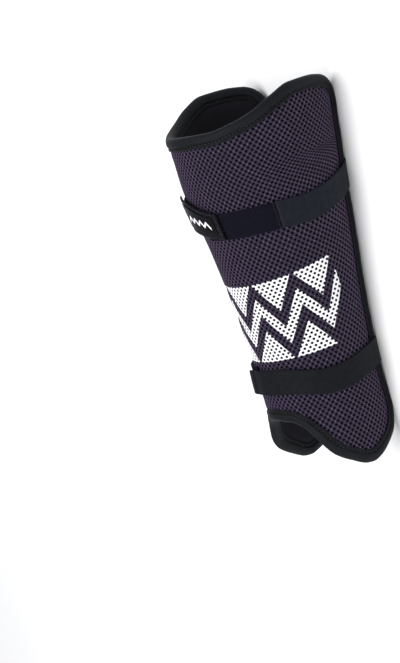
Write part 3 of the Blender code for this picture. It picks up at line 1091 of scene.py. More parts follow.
def stiff_webbing():
    """Coated polyester webbing: a tight diagonal rib with pale lint caught on it."""
    material, tree, shader = new_material(
        "stiff_tab_webbing", "#0B0B12", 0.55, 0.08, (0.04, 0.3, "#A9B0C0"))
    place, run, across = cloth_millimetres(tree)
    rib = ridges(tree, calculate(tree, "MULTIPLY_ADD", across, 1.0, run), 0.8)
    height = calculate(tree, "MULTIPLY_ADD", speckle(tree, place, 2.4, 3.0), 0.7, rib)
    set_bump(tree, shader, height, 0.07 * MM, 0.8)
    colour = blend(tree, "#06060B", "#101018", rib)
    lint = calculate(tree, "GREATER_THAN", speckle(tree, place, 0.9, 4.0), 0.665)
    lint = calculate(tree, "MULTIPLY", lint, 0.5)
    set_colour(tree, shader, blend(tree, colour, "#7B7B88", lint))
    return material


def woven_label_cloth():
    """Damask label: dense black satin, a little glossier than the tab round it."""
    material, tree, shader = new_material(
        "woven_satin_label", "#0A0A10", 0.45, 0.1, (0.03, 0.3, "#A9B0C0"))
    place, run, across = cloth_millimetres(tree)
    satin = ridges(tree, across, 0.5)
    height = calculate(tree, "MULTIPLY_ADD", ridges(tree, run, 0.7), 0.5, satin)
    set_bump(tree, shader, height, 0.04 * MM, 0.8)
    set_colour(tree, shader, blend(tree, "#050509", "#0D0D14", speckle(tree, place, 0.5, 3.0)))
    return material


def twisted_thread(name, dark, light, roughness):
    """Polyester sewing thread: a tight twist with a small bright edge."""
    material, tree, shader = new_material(name, dark, roughness, 0.5, (0.2, 0.3, "#FFFFFF"))
    place = object_place(tree)
    ply = speckle(tree, place, 1500.0, 2.0)
    set_bump(tree, shader, ply, 0.05 * MM, 0.8)
    set_colour(tree, shader, blend(tree, dark, light, ply))
    return material


def studio_floor():
    """Matt white studio sheet, even and very slightly grained."""
    material, tree, shader = new_material("matt_white_sheet", "#F6F6F6", 0.9, 0.2)
    place = object_place(tree)
    grain = speckle(tree, place, 3.0, 2.0)
    set_colour(tree, shader, blend(tree, "#F3F3F4", "#F8F8F8", grain))
    return material


MESH_CLOTH = knitted_mesh()
FOAM = foam_backing()
LINING = brushed_lining()
TAPE = woven_tape()
UPPER_ELASTIC = ribbed_elastic("upper_woven_elastic", "#0A0C15", "#161925")
LOWER_ELASTIC = ribbed_elastic("lower_woven_elastic", "#050609", "#0F1117")
PILE = loop_pile()
TAB_CLOTH = stiff_webbing()
LABEL_CLOTH = woven_label_cloth()
BLACK_THREAD = twisted_thread("black_sewing_thread", "#07080C", "#1A1C24", 0.45)
WHITE_THREAD = twisted_thread("white_label_thread", "#D8D8DC", "#FFFFFF", 0.5)

COPIES = copies_tree()
STITCHES = stitches_tree()
PILE_LOOPS = pile_tree()


def sewn_layer(rings, columns, rows):
    """Places and faces of a closed layer of the wrap, from the border inwards.

    Each ring holds an inset, an outer lift and an inner lift. The last ring's lifts fill
    the grid inside it.
    """
    loop = border(columns, rows, toward_end, toward_both)
    ways = inward(loop)
    count = len(loop)
    wide = 2 * columns
    flats = [loop + ways * ring[0] for ring in rings]
    grid = filled(flats[-1], columns, rows)
    lifts = np.repeat([(ring[1], ring[2]) for ring in rings], count, axis=0)
    insets = np.repeat([ring[0] for ring in rings], count)
    inner_grid = grid[1:-1, 1:-1].reshape(-1, 2)
    flat = np.concatenate(flats + [inner_grid])
    rest = len(inner_grid)
    lifts = np.concatenate((lifts, np.tile(rings[-1][1:], (rest, 1))))
    insets = np.concatenate((insets, np.full(rest, rings[-1][0])))
    last = (len(rings) - 1) * count
    names = np.zeros((rows + 1, wide + 1), dtype=int)
    names[0] = last + np.arange(wide + 1)
    names[rows] = last + 2 * wide + rows - np.arange(wide + 1)
    names[1:rows, wide] = last + wide + np.arange(1, rows)
    names[1:rows, 0] = last + count - np.arange(1, rows)
    names[1:rows, 1:wide] = (last + count + np.arange(rest)).reshape(rows - 1, wide - 1)
    faces = ring_faces(len(rings), count)
    for row in range(rows):
        for column in range(wide):
            faces.append((
                int(names[row, column]),
                int(names[row, column + 1]),
                int(names[row + 1, column + 1]),
                int(names[row + 1, column]),
            ))
    total = len(flat)
    faces += [tuple(total + index for index in reversed(face)) for face in faces]
    for index in range(count):
        after = (index + 1) % count
        faces.append((after, index, total + index, total + after))
    return flat, lifts, insets, faces


def strap_cover(angle, share):
    """1 under a strap, patch or tab, falling to 0 beside it."""
    soft = COVER_SOFT_EDGE / GUARD_LENGTH
    cover = np.zeros(np.broadcast(angle, share).shape)
    whole = angle % 360.0
    turned = signed(angle)
    upper_strap_angles = (UPPER_PATCH_ANGLES[1], UPPER_STRAP_ANGLES[1])
    bands = (
        (turned, UPPER_PATCH_LINE, UPPER_STRAP_HALF_WIDTH, UPPER_PATCH_ANGLES),
        (whole, UPPER_STRAP_LINE, UPPER_STRAP_HALF_WIDTH, upper_strap_angles),
        (turned, TAB_LINE, TAB_COVER_HALF_WIDTH, TAB_ANGLES),
        (turned, LOWER_STRAP_LINE, STRAP_HALF_WIDTH, (LOWER_STRAP_ANGLES[0], 0.0)),
        (whole, LOWER_STRAP_LINE, STRAP_HALF_WIDTH, (0.0, LOWER_STRAP_ANGLES[1])),
        (turned, LOWER_PATCH_LINE, STRAP_HALF_WIDTH, LOWER_PATCH_ANGLES),
    )
    for place, line, half, (start, end) in bands:
        off = np.abs(share - read(line, place))
        half = half / GUARD_LENGTH
        across = 1.0 - eased(off, half - soft * 0.4, half + soft)
        begun = eased(place, start - COVER_SOFT_ANGLE, start)
        ended = eased(place, end, end + COVER_SOFT_ANGLE)
        cover = np.maximum(cover, across * (begun * (1.0 - ended)))
    return cover


def swollen(start, faces, pinned, frames=20):
    """Blow a closed cloth body up against its pinned edge, and give back its points."""
    body = plain_piece("swelling", start, faces)
    group = body.vertex_groups.new(name="sewn_edge")
    group.add([int(index) for index in np.flatnonzero(pinned)], 1.0, "REPLACE")
    cloth = body.modifiers.new("cloth", "CLOTH")
    cloth.settings.quality = 5
    cloth.settings.mass = 0.15
    cloth.settings.tension_stiffness = 12.0
    cloth.settings.compression_stiffness = 12.0
    cloth.settings.shear_stiffness = 5.0
    cloth.settings.bending_stiffness = 0.5
    cloth.settings.use_pressure = True
    cloth.settings.uniform_pressure_force = 4.0
    cloth.settings.vertex_group_mass = group.name
    cloth.settings.effector_weights.gravity = 0.0
    cloth.collision_settings.use_self_collision = False
    scene = bpy.context.scene
    cloth.point_cache.frame_start = 1
    cloth.point_cache.frame_end = frames
    for number in range(1, frames + 1):
        scene.frame_set(number)
    depsgraph = bpy.context.evaluated_depsgraph_get()
    result = body.evaluated_get(depsgraph).to_mesh()
    points = points_of(result)
    scene.frame_set(1)
    bpy.data.objects.remove(body, do_unlink=True)
    return points


def make_padding():
    """The foam wrap, swollen between its taped edge and the straps that hold it down."""
    tucked = (FOAM_TUCKED_OUTER, FOAM_TUCKED_INNER)
    half_out = FOAM_TUCKED_OUTER * 0.45 + FOAM_OUTER * 0.55
    rings = [(inset * MM, *tucked) for inset in (4.3, 6.5, 8.5)]
    rings += [
        (SEWN_INSET, *tucked),
        (11.6 * MM, half_out, FOAM_INNER),
        (13.2 * MM, FOAM_OUTER, FOAM_INNER),
        (FREE_INSET, FOAM_OUTER, FOAM_INNER),
    ]
    flat, lifts, insets, faces = sewn_layer(rings, columns=48, rows=52)
    angle, share = from_flat(flat)
    start = np.concatenate((wrap(angle, share, lifts[:, 0]), wrap(angle, share, lifts[:, 1])))
    limits = FOAM_SWELL + (FOAM_SWELL_UNDER_STRAP - FOAM_SWELL) * strap_cover(angle, share)
    limits = np.concatenate((limits, np.full(len(flat), FOAM_SWELL_INSIDE)))
    outward = wrap(angle, share, 1.0) - wrap(angle, share, 0.0)
    outward = np.concatenate((outward, -outward))
    insets = np.tile(insets, 2)
    moved = swollen(start, faces, insets <= SEWN_INSET) - start
    raised = np.maximum((moved * outward).sum(axis=1), 0.0)
    raised = limits * np.tanh(raised / limits)
    points = start + outward * raised[:, None]
    piece = make_piece("padding", points, faces, np.tile(flat, (2, 1)), FOAM)
    subdivision = piece.modifiers.new("smooth", "SUBSURF")
    subdivision.levels = 1
    subdivision.render_levels = 1
    outer_lift = lifts[:, 0] + raised[:len(flat)]
    return piece, flat, outer_lift


def chart_of_foam(flat, outer_lift, like, cell=1.5 * MM):
    """Lift of the foam's outer face over the flat layout."""
    chart = Chart(like.low, like.places[-1, -1], cell)
    neighbours = 4
    blur = 0.2 * MM
    tree = KDTree(len(flat))
    for index, place in enumerate(flat):
        tree.insert((place[0], place[1], 0.0), index)
    tree.balance()
    values = []
    for place in chart.places.reshape(-1, 2):
        near = tree.find_n((place[0], place[1], 0.0), neighbours)
        weights = [1.0 / (found[2] + blur) ** 2 for found in near]
        total = sum(weight * outer_lift[found[1]] for weight, found in zip(weights, near))
        values.append(total / sum(weights))
    chart.values = np.array(values).reshape(chart.values.shape)
    return chart


def make_hole_shape():
    """One hole with half of each strand round it: top, rounded rim, wall and underside."""
    points = []
    rim = []
    for x, y in CELL_CORNERS:
        lift = 0.0 if x * y == 0.0 else -STRAND_SAG
        points.append((x * HOLE_PITCH / 2.0, y * ROW_PITCH, lift))
        turn = math.atan2(y, x)
        rim.append((math.cos(turn) * HOLE_HALF_WIDTH, math.sin(turn) * HOLE_HALF_HEIGHT))
    under = [(x, y, -MESH_THICKNESS) for x, y, _ in points]
    for size, depth in HOLE_LEVELS:
        points += [(x * size, y * size, -depth) for x, y in rim]
    points += under
    return plain_piece("hole_shape", points, ring_faces(len(HOLE_LEVELS) + 2, len(CELL_CORNERS)))


def close_edges(mesh):
    """Join the top and the underside of a net along its cut edge."""
    def spot(vertex):
        return round(vertex.co.x / (0.1 * MM)), round(vertex.co.y / (0.1 * MM))

    def on_top(vertex):
        return vertex.co.z >= -MESH_THICKNESS / 2.0

    editor = bmesh.new()
    editor.from_mesh(mesh)
    open_edges = [edge for edge in editor.edges if len(edge.link_faces) == 1]
    below = {}
    for edge in open_edges:
        below.update((spot(vertex), vertex) for vertex in edge.verts if not on_top(vertex))
    for edge in open_edges:
        if on_top(edge.verts[0]):
            first = edge.link_loops[0].vert
            second = edge.other_vert(first)
            editor.faces.new((second, first, below[spot(first)], below[spot(second)]))
    editor.to_mesh(mesh)
    editor.free()


def above_upper_strap(angle, share):
    """Whether a place lies on the knee side of the upper strap's middle."""
    turned = signed(angle)
    over_patch = (turned > UPPER_PATCH_LINE[0][0]) & (turned < UPPER_PATCH_LINE[-1][0])
    on_strap = read(UPPER_STRAP_LINE, angle % 360.0)
    return share > np.where(over_patch, read(UPPER_PATCH_LINE, turned), on_strap)


def make_mesh_cover(name, knee_side, charts, shape):
    """Knitted mesh laid over the foam. Its two parts meet under the upper strap."""
    inset_chart, foam_chart, threads = charts
    across, up = np.meshgrid(np.arange(*MESH_COLUMNS), np.arange(*MESH_ROWS))
    across = (across + (up % 2) * 0.5) * HOLE_PITCH
    cloth = np.stack((across, up * ROW_PITCH), axis=-1).reshape(-1, 2)
    angle, share = threads.find(cloth)
    kept = inset_chart.read(to_flat(angle, share)) >= MESH_HIDDEN_EDGE
    kept &= (share > 0.0) & (share < 1.0) & (np.abs(angle) < EDGE_ANGLE)
    kept &= above_upper_strap(angle, share) == knee_side
    holes = np.column_stack((cloth[kept], np.zeros(kept.sum())))
    piece = grown(name, holes, [], [], COPIES,
                  {"Shape": shape, "Weld": MESH_WELD, "Material": MESH_CLOTH})
    mesh = piece.data
    close_edges(mesh)
    points = points_of(mesh)
    cloth = points[:, :2]
    angle, share = threads.find(cloth)
    foam = foam_chart.read(to_flat(angle, share))
    placed = wrap(angle, share, foam + MESH_ABOVE_FOAM + points[:, 2])
    set_cloth_map(mesh, cloth[corners_of(mesh)])
    sunk = mesh.attributes.new("sunk", "FLOAT", "POINT")
    sunk.data.foreach_set("value", np.clip(-points[:, 2] / MESH_THICKNESS, 0.0, 1.0))
    mesh.vertices.foreach_set("co", placed.ravel())
    mesh.shade_smooth()
    mesh.update()
    across, up = np.ptp(holes[:, :2], axis=0) + (HOLE_PITCH, 2.0 * ROW_PITCH)
    return piece, (float(across), float(up), len(holes) * HOLE_PITCH * ROW_PITCH)


def make_lining():
    """Thin cloth inside the wrap, with the soft ripples of cloth that is held at its edge."""
    rings = [(inset * MM, *LINING_SEWN_LIFTS) for inset in (4.3, 7.0, 9.6)]
    rings += [(inset, *LINING_LIFTS) for inset in (12.0 * MM, FREE_INSET)]
    flat, lifts, insets, faces = sewn_layer(rings, columns=56, rows=60)
    angle, share = from_flat(flat)
    u = flat[:, 0] / MM
    v = flat[:, 1] / MM
    ripple = uneven(u + 0.35 * v, (23.0, 0.16, 0.4), (11.0, 0.07, 1.9))
    ripple += uneven(v - 0.2 * u, (37.0, 0.14, 2.2), (15.0, 0.06, 0.3))
    ripple = (ripple - 0.3) * MM * eased(insets, 10.0 * MM, FREE_INSET)
    points = np.concatenate((
        wrap(angle, share, lifts[:, 0] + ripple * 0.5),
        wrap(angle, share, lifts[:, 1] - np.abs(ripple)),
    ))
    piece = make_piece("lining_cloth", points, faces, np.tile(flat, (2, 1)), LINING)
    # Laid flat, the lining is narrower than the pad, because it lies nearer to the leg
    loop = flat[insets == insets.min()]
    radius = mean_radius(loop[:, 1] / GUARD_LENGTH)
    loop = loop * np.stack((1.0 - LINING_DEPTH / radius, np.ones(len(loop))), axis=-1)
    after = np.roll(loop, -1, axis=0)
    cut = 0.5 * float((loop[:, 0] * after[:, 1] - loop[:, 1] * after[:, 0]).sum())
    across, up = np.ptp(loop, axis=0)
    return piece, (float(across), float(up), cut)


def make_tape():
    """Tape folded round the border, drawn in by its stitches."""
    loop = border(columns=230, rows=145)
    ways = inward(loop)
    loop = np.concatenate((loop, loop[:1]))
    ways = np.concatenate((ways, ways[:1]))
    run = along(loop)
    section = tape_section()
    inset, lift = section.T
    turns = run[:, None] / run[-1] * 2.0 * np.pi
    puff = sum(height * np.sin(turns * count + phase) for count, height, phase in TAPE_PUFFS)
    pucker = 0.5 - 0.5 * np.cos(turns * round(run[-1] / STITCH_PITCH))
    crest = bell(inset, TAPE_CREST_INSET, TAPE_CREST_WIDTH)
    groove = bell(inset, STITCH_INSET, STITCH_GROOVE_WIDTH)
    outside = np.where(lift > -WALL / 2.0, 1.0, -1.0)
    shows = (lift > -TAPE_FACE_DEPTH) | (lift < TAPE_FACE_DEPTH - WALL)
    lifts = lift + outside * crest * puff * MM * shows
    lifts = lifts + outside * groove * shows * (pucker - 0.6) * STITCH_PULL
    lip = inset > LIP_INSET
    insets = inset + lip * shows * LIP_WANDER * np.sin(turns * LIP_WAVES + LIP_PHASE)
    angle, share = from_flat(loop[:, None] + ways[:, None] * insets[..., None])
    # Along the open back the tape rolls out further, except where a strap holds it down
    free = eased(around(angle), *TAPE_BULGE_ANGLES) * (1.0 - strap_cover(angle, share))
    roll = bell(inset, TAPE_ROLL_INSET, TAPE_ROLL_WIDTH) * (outside > 0.0)
    points = wrap(angle, share, lifts + TAPE_BULGE * free * roll)
    points[..., 2] = np.maximum(points[..., 2], 0.0)
    places = np.stack(np.broadcast_arrays(run[:, None], along(section)[None]), axis=-1)
    tape = make_piece("edge_tape", points, quads(len(loop), len(section)), places, TAPE)
    angle, share = from_flat(loop[:-1] + ways[:-1] * STITCH_INSET)
    rows = []
    for name, depth in (("edge_stitches", STITCH_DEPTH),
                        ("edge_stitches_inside", WALL - STITCH_DEPTH)):
        rows.append(sew(name, [wrap(angle, share, -depth)], BLACK_THREAD, closed=True))
    return tape, rows


def sew(name, lines, material, pitch=STITCH_PITCH, length=STITCH_LENGTH, thread=THREAD,
        closed=False):
    """Stitches along lines of points."""
    points = []
    edges = []
    for line in lines:
        start = len(points)
        points += [tuple(point) for point in line]
        edges += [(index, index + 1) for index in range(start, len(points) - 1)]
        if closed:
            edges.append((len(points) - 1, start))
    return grown(name, points, edges, [], STITCHES,
                 {"Pitch": pitch, "Length": length, "Thread": thread, "Material": material})


def above_floor(points, floor):
    """Keep points above the floor, with a soft bend where they meet it."""
    height = points[..., 2]
    nearness = np.maximum(FLOOR_BLEND - np.abs(height - floor), 0.0) / FLOOR_BLEND
    points[..., 2] = np.maximum(height, floor) + nearness * nearness * FLOOR_BLEND / 4.0
    return points


def band_points(angle, share, lift, height, thickness):
    """Points of a band at a height above its inner face, laid flat on the floor at the back."""
    points = wrap(angle, share, lift + height)
    return above_floor(points, thickness - height)


# Bands: mean radius as a share of the knee's half depth, outermost rows of points, and the
# reach of their rounded edges as a share of the thickness
BAND_RADIUS_SHARE = 0.85
BAND_EDGE_ROW = 0.985
BAND_ROUNDING = 0.75

# Elastic: woven edge, rise of its cords and how far they lie sunk beside the edge
WOVEN_EDGE = (1.0 * MM, 1.6 * MM)
CORD_RISE = 0.045 * MM
CORD_SINK = 0.05 * MM

# Seams and the fold across the straps, as lengths from their starts
JOIN_SEAM = 1.6 * MM
JOIN_SEAM_WIDTH = 0.5 * MM
JOIN_SEAM_DEPTH = 0.25 * MM
FOLD_ENDS = (7.0 * MM, 7.8 * MM)
FOLD_RISE = 0.7 * MM
FOLD_SEAM = 6.0 * MM
FOLD_SEAM_WIDTH = 0.45 * MM
FOLD_SEAM_DEPTH = 0.4 * MM


def make_band(name, angles, line, half_width, lift, thickness, top, material,
              across=42, step=1.2 * MM, skew=0.0):
    """Flat band round the wrap.

    The top is a height over the thickness, from the angle, the place across from -1 to 1,
    and the distances from the band's start and from its nearer edge.
    """
    start, end = angles
    length = math.radians(end - start) * KNEE_HALF_DEPTH * BAND_RADIUS_SHARE
    count = int(length / step) + 1
    angle = np.linspace(start, end, count)[:, None]
    side = np.linspace(-1.0, 1.0, across + 1)
    side = np.concatenate(((-1.0, -BAND_EDGE_ROW), side[1:-1], (BAND_EDGE_ROW, 1.0)))[None]
    half = half_width(angle)
    centre = read(line, angle)
    share = centre + side * half / GUARD_LENGTH
    slant = skew * np.clip(1.0 - (angle - start) / FREE_END_SKEW_RUN_ANGLE, 0.0, 1.0)
    turned = angle + slant * side
    run = np.radians(angle - start) * mean_radius(centre)
    from_edge = (1.0 - np.abs(side)) * half
    beyond = np.maximum(1.0 - from_edge / (BAND_ROUNDING * thickness), 0.0)
    rounding = np.sqrt(np.clip(1.0 - beyond ** 2, 0.0, 1.0))
    heights = thickness * (0.5 + 0.5 * rounding) + top(angle, side, run, from_edge) * rounding
    lows = thickness * (0.5 - 0.5 * rounding)
    base = lift(turned)
    over = band_points(turned, share, base, heights, thickness)
    under = band_points(turned, share, base, lows, thickness)
    points = np.concatenate((over, under[:, ::-1], over[:, :1]), axis=1)
    width = side * half
    reach = 2.0 * half + 2.0 * thickness
    places = np.concatenate((width, (reach - width)[:, ::-1], width[:, :1] + reach * 2.0), axis=1)
    places = np.stack(np.broadcast_arrays(run, places), axis=-1)
    wide = points.shape[1]
    faces = quads(count, wide)
    tops = side.shape[1]
    for here in (0, (count - 1) * wide):
        for index in range(tops - 1):
            below = here + 2 * tops - 1 - index
            faces.append((here + index, here + index + 1, below - 1, below))
    return make_piece(name, points, faces, places, material)


def strap_lift(angle):
    """Inner face of a strap: pressed into the foam, and lifted where it crosses the tape."""
    turned = around(angle)
    return STRAP_SEAT + TAPE_CLIMB * eased(turned, *TAPE_CLIMB_ANGLES)


def elastic_ribs(side, from_edge):
    """Height of cords 1 mm apart, with a plain woven edge."""
    cords = np.cos(side * STRAP_HALF_WIDTH / MM * 2.0 * np.pi)
    return (CORD_RISE * cords - CORD_SINK) * eased(from_edge, *WOVEN_EDGE)


def make_upper_strap():
    """Elastic band below the knee, with a seam pressed in beside its patch."""
    def top(angle, side, run, from_edge):
        seam = JOIN_SEAM_DEPTH * bell(run, JOIN_SEAM, JOIN_SEAM_WIDTH)
        return elastic_ribs(side, from_edge) - seam

    return make_band(
        "upper_elastic", UPPER_STRAP_ANGLES, UPPER_STRAP_LINE,
        lambda angle: UPPER_STRAP_HALF_WIDTH, strap_lift, STRAP_THICKNESS, top, UPPER_ELASTIC)


def lower_strap_lift(angle):
    stacked = PATCH_STACK * (1.0 - eased(angle, *LOWERING_ANGLES))
    curl = FREE_END_CURL * (1.0 - eased(angle, *CURL_ANGLES))
    return strap_lift(angle) + stacked + curl


def make_lower_strap():
    """Elastic band above the ankle, with its free end folded over and sewn down."""
    def top(angle, side, run, from_edge):
        folded = FOLD_RISE * (1.0 - eased(run, *FOLD_ENDS))
        seam = FOLD_SEAM_DEPTH * bell(run, FOLD_SEAM, FOLD_SEAM_WIDTH)
        return elastic_ribs(side, from_edge) + folded - seam

    return make_band(
        "lower_elastic", LOWER_STRAP_ANGLES, LOWER_STRAP_LINE,
        lambda angle: STRAP_HALF_WIDTH, lower_strap_lift, STRAP_THICKNESS, top, LOWER_ELASTIC,
        skew=FREE_END_SKEW_ANGLE)


def make_pile_loop():
    """One tiny arch of thread, a little wider than it is tall."""
    reach = 0.20 * MM
    rise = 0.34 * MM
    sunk = 0.05 * MM
    thick = 0.06 * MM
    bends = 4
    corners = 3
    points = []
    for step in range(bends + 1):
        turn = math.pi * step / bends
        out = Vector((-math.cos(turn), 0.0, math.sin(turn)))
        centre = Vector((out.x * reach, 0.0, out.z * rise - sunk))
        for corner in range(corners):
            swing = 2.0 * math.pi * corner / corners
            aside = Vector((0.0, math.sin(swing), 0.0))
            points.append(centre + (out * math.cos(swing) + aside) * thick)
    return plain_piece("pile_loop", points, ring_faces(bends + 1, corners))


def make_patch(name, angles, line, half, loop, seed):
    """Loop patch: a thin woven base covered with tiny loops."""
    def top(angle, side, run, from_edge):
        lumps = np.sin(run / MM * 2.9 + side * 3.0) * np.sin(side * 17.0 + run / MM * 1.3)
        return 0.05 * MM * lumps

    base = make_band(name, angles, line, lambda angle: half, strap_lift, PATCH_THICKNESS, top,
                     PILE, across=24, step=1.5 * MM)
    rows = 40
    columns = 15
    margin_angle = 0.4
    reach = 0.97
    start, end = angles
    angle = np.linspace(start + margin_angle, end - margin_angle, rows)[:, None]
    side = np.linspace(-reach, reach, columns)[None]
    share = beside(line, angle, side * half)
    points = band_points(angle, share, strap_lift(angle), PATCH_THICKNESS, PATCH_THICKNESS)
    faces = [tuple(reversed(face)) for face in quads(rows, columns)]
    pile = grown(name + "_loops", points, [], faces, PILE_LOOPS,
                 {"Loop": loop, "Loops per square metre": 2.2e6, "Seed": seed, "Material": PILE})
    return base, pile


# Relief of the tab: its raised rim, its folded end, and the seam and crease pressed in
TAB_RIM_RISE = 0.42 * MM
TAB_RIM_STARTS = (0.3 * MM, 0.8 * MM)
TAB_RIM_ENDS = (3.2 * MM, 3.9 * MM)
TAB_SEAM_INSET = 1.9 * MM
TAB_SEAM_WIDTH = 0.35 * MM
TAB_SEAM_DEPTH = 0.18 * MM
TAB_HEM_RISE = 0.85 * MM
TAB_HEM_ENDS = (3.4 * MM, 4.2 * MM)
TAB_CREASE_INSET = 4.4 * MM
TAB_CREASE_WIDTH = 0.5 * MM
TAB_CREASE_DEPTH = 0.35 * MM
TAB_SEAM_ANGLES = (TAB_ANGLES[0] + 1.0, TAB_ANGLES[1] - 1.2)
TAB_END_SEAM_ANGLE = TAB_ANGLES[1] - 1.6


def tab_half(angle):
    return read(TAB_HALF_HEIGHTS, angle) * GUARD_LENGTH


def make_tab():
    """Stiff tab with a raised, stitched rim and a fold across its end."""
    last = math.radians(TAB_ANGLES[1] - TAB_ANGLES[0]) * float(mean_radius(0.69))

    def top(angle, side, run, from_edge):
        from_end = last - run
        rim = eased(from_edge, *TAB_RIM_STARTS) * (1.0 - eased(from_edge, *TAB_RIM_ENDS))
        hem = 1.0 - eased(from_end, *TAB_HEM_ENDS)
        crease = TAB_CREASE_DEPTH * bell(from_end, TAB_CREASE_INSET, TAB_CREASE_WIDTH)
        seam = TAB_SEAM_DEPTH * bell(from_edge, TAB_SEAM_INSET, TAB_SEAM_WIDTH)
        return np.maximum(TAB_RIM_RISE * rim, TAB_HEM_RISE * hem) - seam - crease

    tab = make_band("closing_tab", TAB_ANGLES, TAB_LINE, tab_half, lambda angle: TAB_SEAT,
                    TAB_THICKNESS, top, TAB_CLOTH, across=60, step=0.8 * MM)
    surface = TAB_SEAT + TAB_THICKNESS
    angle = np.linspace(*TAB_SEAM_ANGLES, 40)
    lines = []
    for side in (-1.0, 1.0):
        share = beside(TAB_LINE, angle, side * (tab_half(angle) - TAB_SEAM_INSET))
        lines.append(wrap(angle, share, surface + 0.28 * MM))
    half = tab_half(TAB_END_SEAM_ANGLE)
    share = beside(TAB_LINE, TAB_END_SEAM_ANGLE, np.linspace(-0.9, 0.9, 20) * half)
    lines.append(wrap(TAB_END_SEAM_ANGLE, share, surface + TAB_HEM_RISE))
    stitches = sew("tab_stitches", lines, BLACK_THREAD, pitch=2.2 * MM, length=1.7 * MM,
                   thread=0.4 * MM)
    return tab, stitches


# A small woven zigzag on the label, as close rows of stitches
MARK_PEAKS = 4
MARK_ROWS = 6
MARK_ANGLES = (-17.0, 8.0)
MARK_HALF_HEIGHT = 2.0 * MM
MARK_LINE = 1.76 * MM


def make_label():
    """Label with a field sunk inside its woven edge, and the zigzag sewn on it."""
    def half(angle):
        return tab_half(angle) - LABEL_MARGIN

    def top(angle, side, run, from_edge):
        return -0.12 * MM * eased(from_edge, 0.8 * MM, 1.2 * MM)

    label = make_band("tab_label", LABEL_ANGLES, TAB_LINE, half, lambda angle: LABEL_SEAT,
                      LABEL_THICKNESS, top, LABEL_CLOTH, across=36, step=0.8 * MM)
    corners = np.arange(2 * MARK_PEAKS + 1)
    steps = np.linspace(0.0, corners[-1], 16 * MARK_PEAKS + 1)
    height = np.interp(steps, corners, np.where(corners % 2 == 0, -1.0, 1.0)) * MARK_HALF_HEIGHT
    angle = np.interp(steps, (0.0, corners[-1]), MARK_ANGLES)
    lines = []
    for offset in np.linspace(-0.5, 0.5, MARK_ROWS):
        share = beside(TAB_LINE, angle, height + offset * MARK_LINE)
        lines.append(wrap(angle, share, LABEL_SEAT + LABEL_THICKNESS - 0.02 * MM))
    mark = sew("label_mark", lines, WHITE_THREAD, pitch=0.9 * MM, length=1.15 * MM,
               thread=0.42 * MM)
    return label, mark


def make_strap_stitches():
    """Rows across the straps: where the elastic joins its patch, and at the folded end."""
    side = np.linspace(-0.93, 0.93, 24)
    lines = []
    joins = (
        (UPPER_STRAP_ANGLES[0] + 1.4, UPPER_STRAP_LINE, STRAP_THICKNESS - 0.1 * MM),
        (UPPER_PATCH_ANGLES[1] - 1.1, UPPER_PATCH_LINE, PATCH_THICKNESS + 0.1 * MM),
    )
    for angle, line, lift in joins:
        share = beside(line, angle, side * UPPER_STRAP_HALF_WIDTH)
        lines.append(wrap(angle, share, STRAP_SEAT + lift))
    share = beside(LOWER_STRAP_LINE, FOLD_STITCH_ANGLE - 1.0, side * STRAP_HALF_WIDTH)
    angle = FOLD_STITCH_ANGLE + FREE_END_SKEW_ANGLE * 0.65 * side
    lines.append(wrap(angle, share, lower_strap_lift(angle) + STRAP_THICKNESS + 0.35 * MM))
    return sew("strap_stitches", lines, BLACK_THREAD, pitch=2.0 * MM, length=1.6 * MM,
               thread=0.42 * MM)


def make_floor():
    size = 6.0
    corners = ((-size, -size, 0.0), (size, -size, 0.0), (size, size, 0.0), (-size, size, 0.0))
    floor = plain_piece("floor", corners, [(0, 1, 2, 3)])
    floor.data.materials.append(studio_floor())
    return floor


def make_camera():
    azimuth = math.radians(CAMERA_AZIMUTH)
    elevation = math.radians(CAMERA_ELEVATION)
    roll = math.radians(CAMERA_ROLL)
    back = Vector((
        math.cos(elevation) * math.cos(azimuth),
        math.cos(elevation) * math.sin(azimuth),
        math.sin(elevation),
    ))
    level = Vector((0.0, 0.0, 1.0)).cross(back).normalized()
    upright = back.cross(level)
    right = math.cos(roll) * level + math.sin(roll) * upright
    up = back.cross(right)
    data = bpy.data.cameras.new("camera")
    data.lens = CAMERA_LENS
    data.sensor_width = 36.0
    data.clip_end = 20.0
    camera = bpy.data.objects.new("camera", data)
    bpy.context.scene.collection.objects.link(camera)
    place = Vector(CAMERA_AIM) + back * CAMERA_DISTANCE
    camera.matrix_world = Matrix((
        (right.x, up.x, back.x, place.x),
        (right.y, up.y, back.y, place.y),
        (right.z, up.z, back.z, place.z),
        (0.0, 0.0, 0.0, 1.0),
    ))
    bpy.context.scene.camera = camera


def make_lamp(name, place, target, size, power):
    data = bpy.data.lights.new(name, "AREA")
    data.shape = "SQUARE"
    data.size = size
    data.energy = power
    lamp = bpy.data.objects.new(name, data)
    bpy.context.scene.collection.objects.link(lamp)
    lamp.location = place
    lamp.rotation_euler = (Vector(target) - Vector(place)).to_track_quat("-Z", "Y").to_euler()


def light_the_studio():
    scene = bpy.context.scene
    scene.view_settings.view_transform = "Standard"
    world = bpy.data.worlds.new("studio")
    scene.world = world
    world.use_nodes = True
    sky = world.node_tree.nodes["Background"]
    sky.inputs["Color"].default_value = (0.97, 0.98, 1.0, 1.0)
    sky.inputs["Strength"].default_value = 0.4
    middle = (0.0, 0.0, 0.06)
    make_lamp("softbox_above", (0.25, 0.3, 1.9), middle, size=1.6, power=42.0)
    make_lamp("softbox_front", (1.05, -1.45, 0.85), middle, size=0.7, power=17.0)


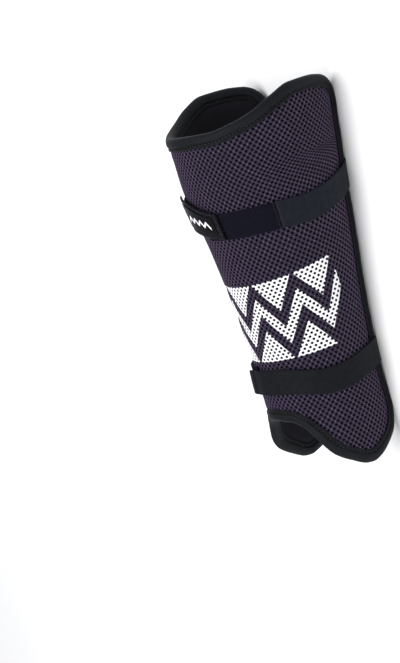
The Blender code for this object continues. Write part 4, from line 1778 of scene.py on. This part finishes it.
def main():
    make_camera()
    light_the_studio()
    floor = make_floor()

    inset_chart = chart_of_inset()
    threads = Threads()
    padding, foam_flat, foam_lift = make_padding()
    foam_chart = chart_of_foam(foam_flat, foam_lift, inset_chart)
    hole = make_hole_shape()
    charts = (inset_chart, foam_chart, threads)
    shank, shank_size = make_mesh_cover("mesh_cover_shank", False, charts, hole)
    knee, knee_size = make_mesh_cover("mesh_cover_knee", True, charts, hole)
    lining, lining_size = make_lining()
    tape, tape_stitches = make_tape()
    upper_strap = make_upper_strap()
    lower_strap = make_lower_strap()
    loop = make_pile_loop()
    upper_patch, upper_pile = make_patch(
        "upper_patch", UPPER_PATCH_ANGLES, UPPER_PATCH_LINE, UPPER_STRAP_HALF_WIDTH, loop,
        seed=3)
    lower_patch, lower_pile = make_patch(
        "lower_patch", LOWER_PATCH_ANGLES, LOWER_PATCH_LINE, STRAP_HALF_WIDTH, loop, seed=5)
    tab, tab_stitches = make_tab()
    label, mark = make_label()
    strap_stitches = make_strap_stitches()
    for helper in (hole, loop):
        bpy.data.objects.remove(helper, do_unlink=True)

    pieces = (
        (padding, "mesh_fabric"),
        (shank, "mesh_fabric"),
        (knee, "mesh_fabric"),
        (lining, "lining_fabric"),
        (tape, "binding_tape"),
        (tape_stitches[0], "binding_tape"),
        (tape_stitches[1], "binding_tape"),
        (upper_strap, "elastic"),
        (lower_strap, "elastic"),
        (upper_patch, "loop_fabric"),
        (upper_pile, "loop_fabric"),
        (lower_patch, "loop_fabric"),
        (lower_pile, "loop_fabric"),
        (tab, "tab_webbing"),
        (tab_stitches, "tab_webbing"),
        (label, "label_fabric"),
        (mark, "label_fabric"),
        (strap_stitches, "elastic"),
    )
    for piece, slot in pieces:
        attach(piece, "root")
    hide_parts("pad")
    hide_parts("lining")
    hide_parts("edge_binding")
    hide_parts("upper_strap")
    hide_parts("lower_strap")
    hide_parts("upper_loop_patch")
    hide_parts("lower_loop_patch")
    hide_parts("upper_tab")
    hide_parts("upper_label")


main()
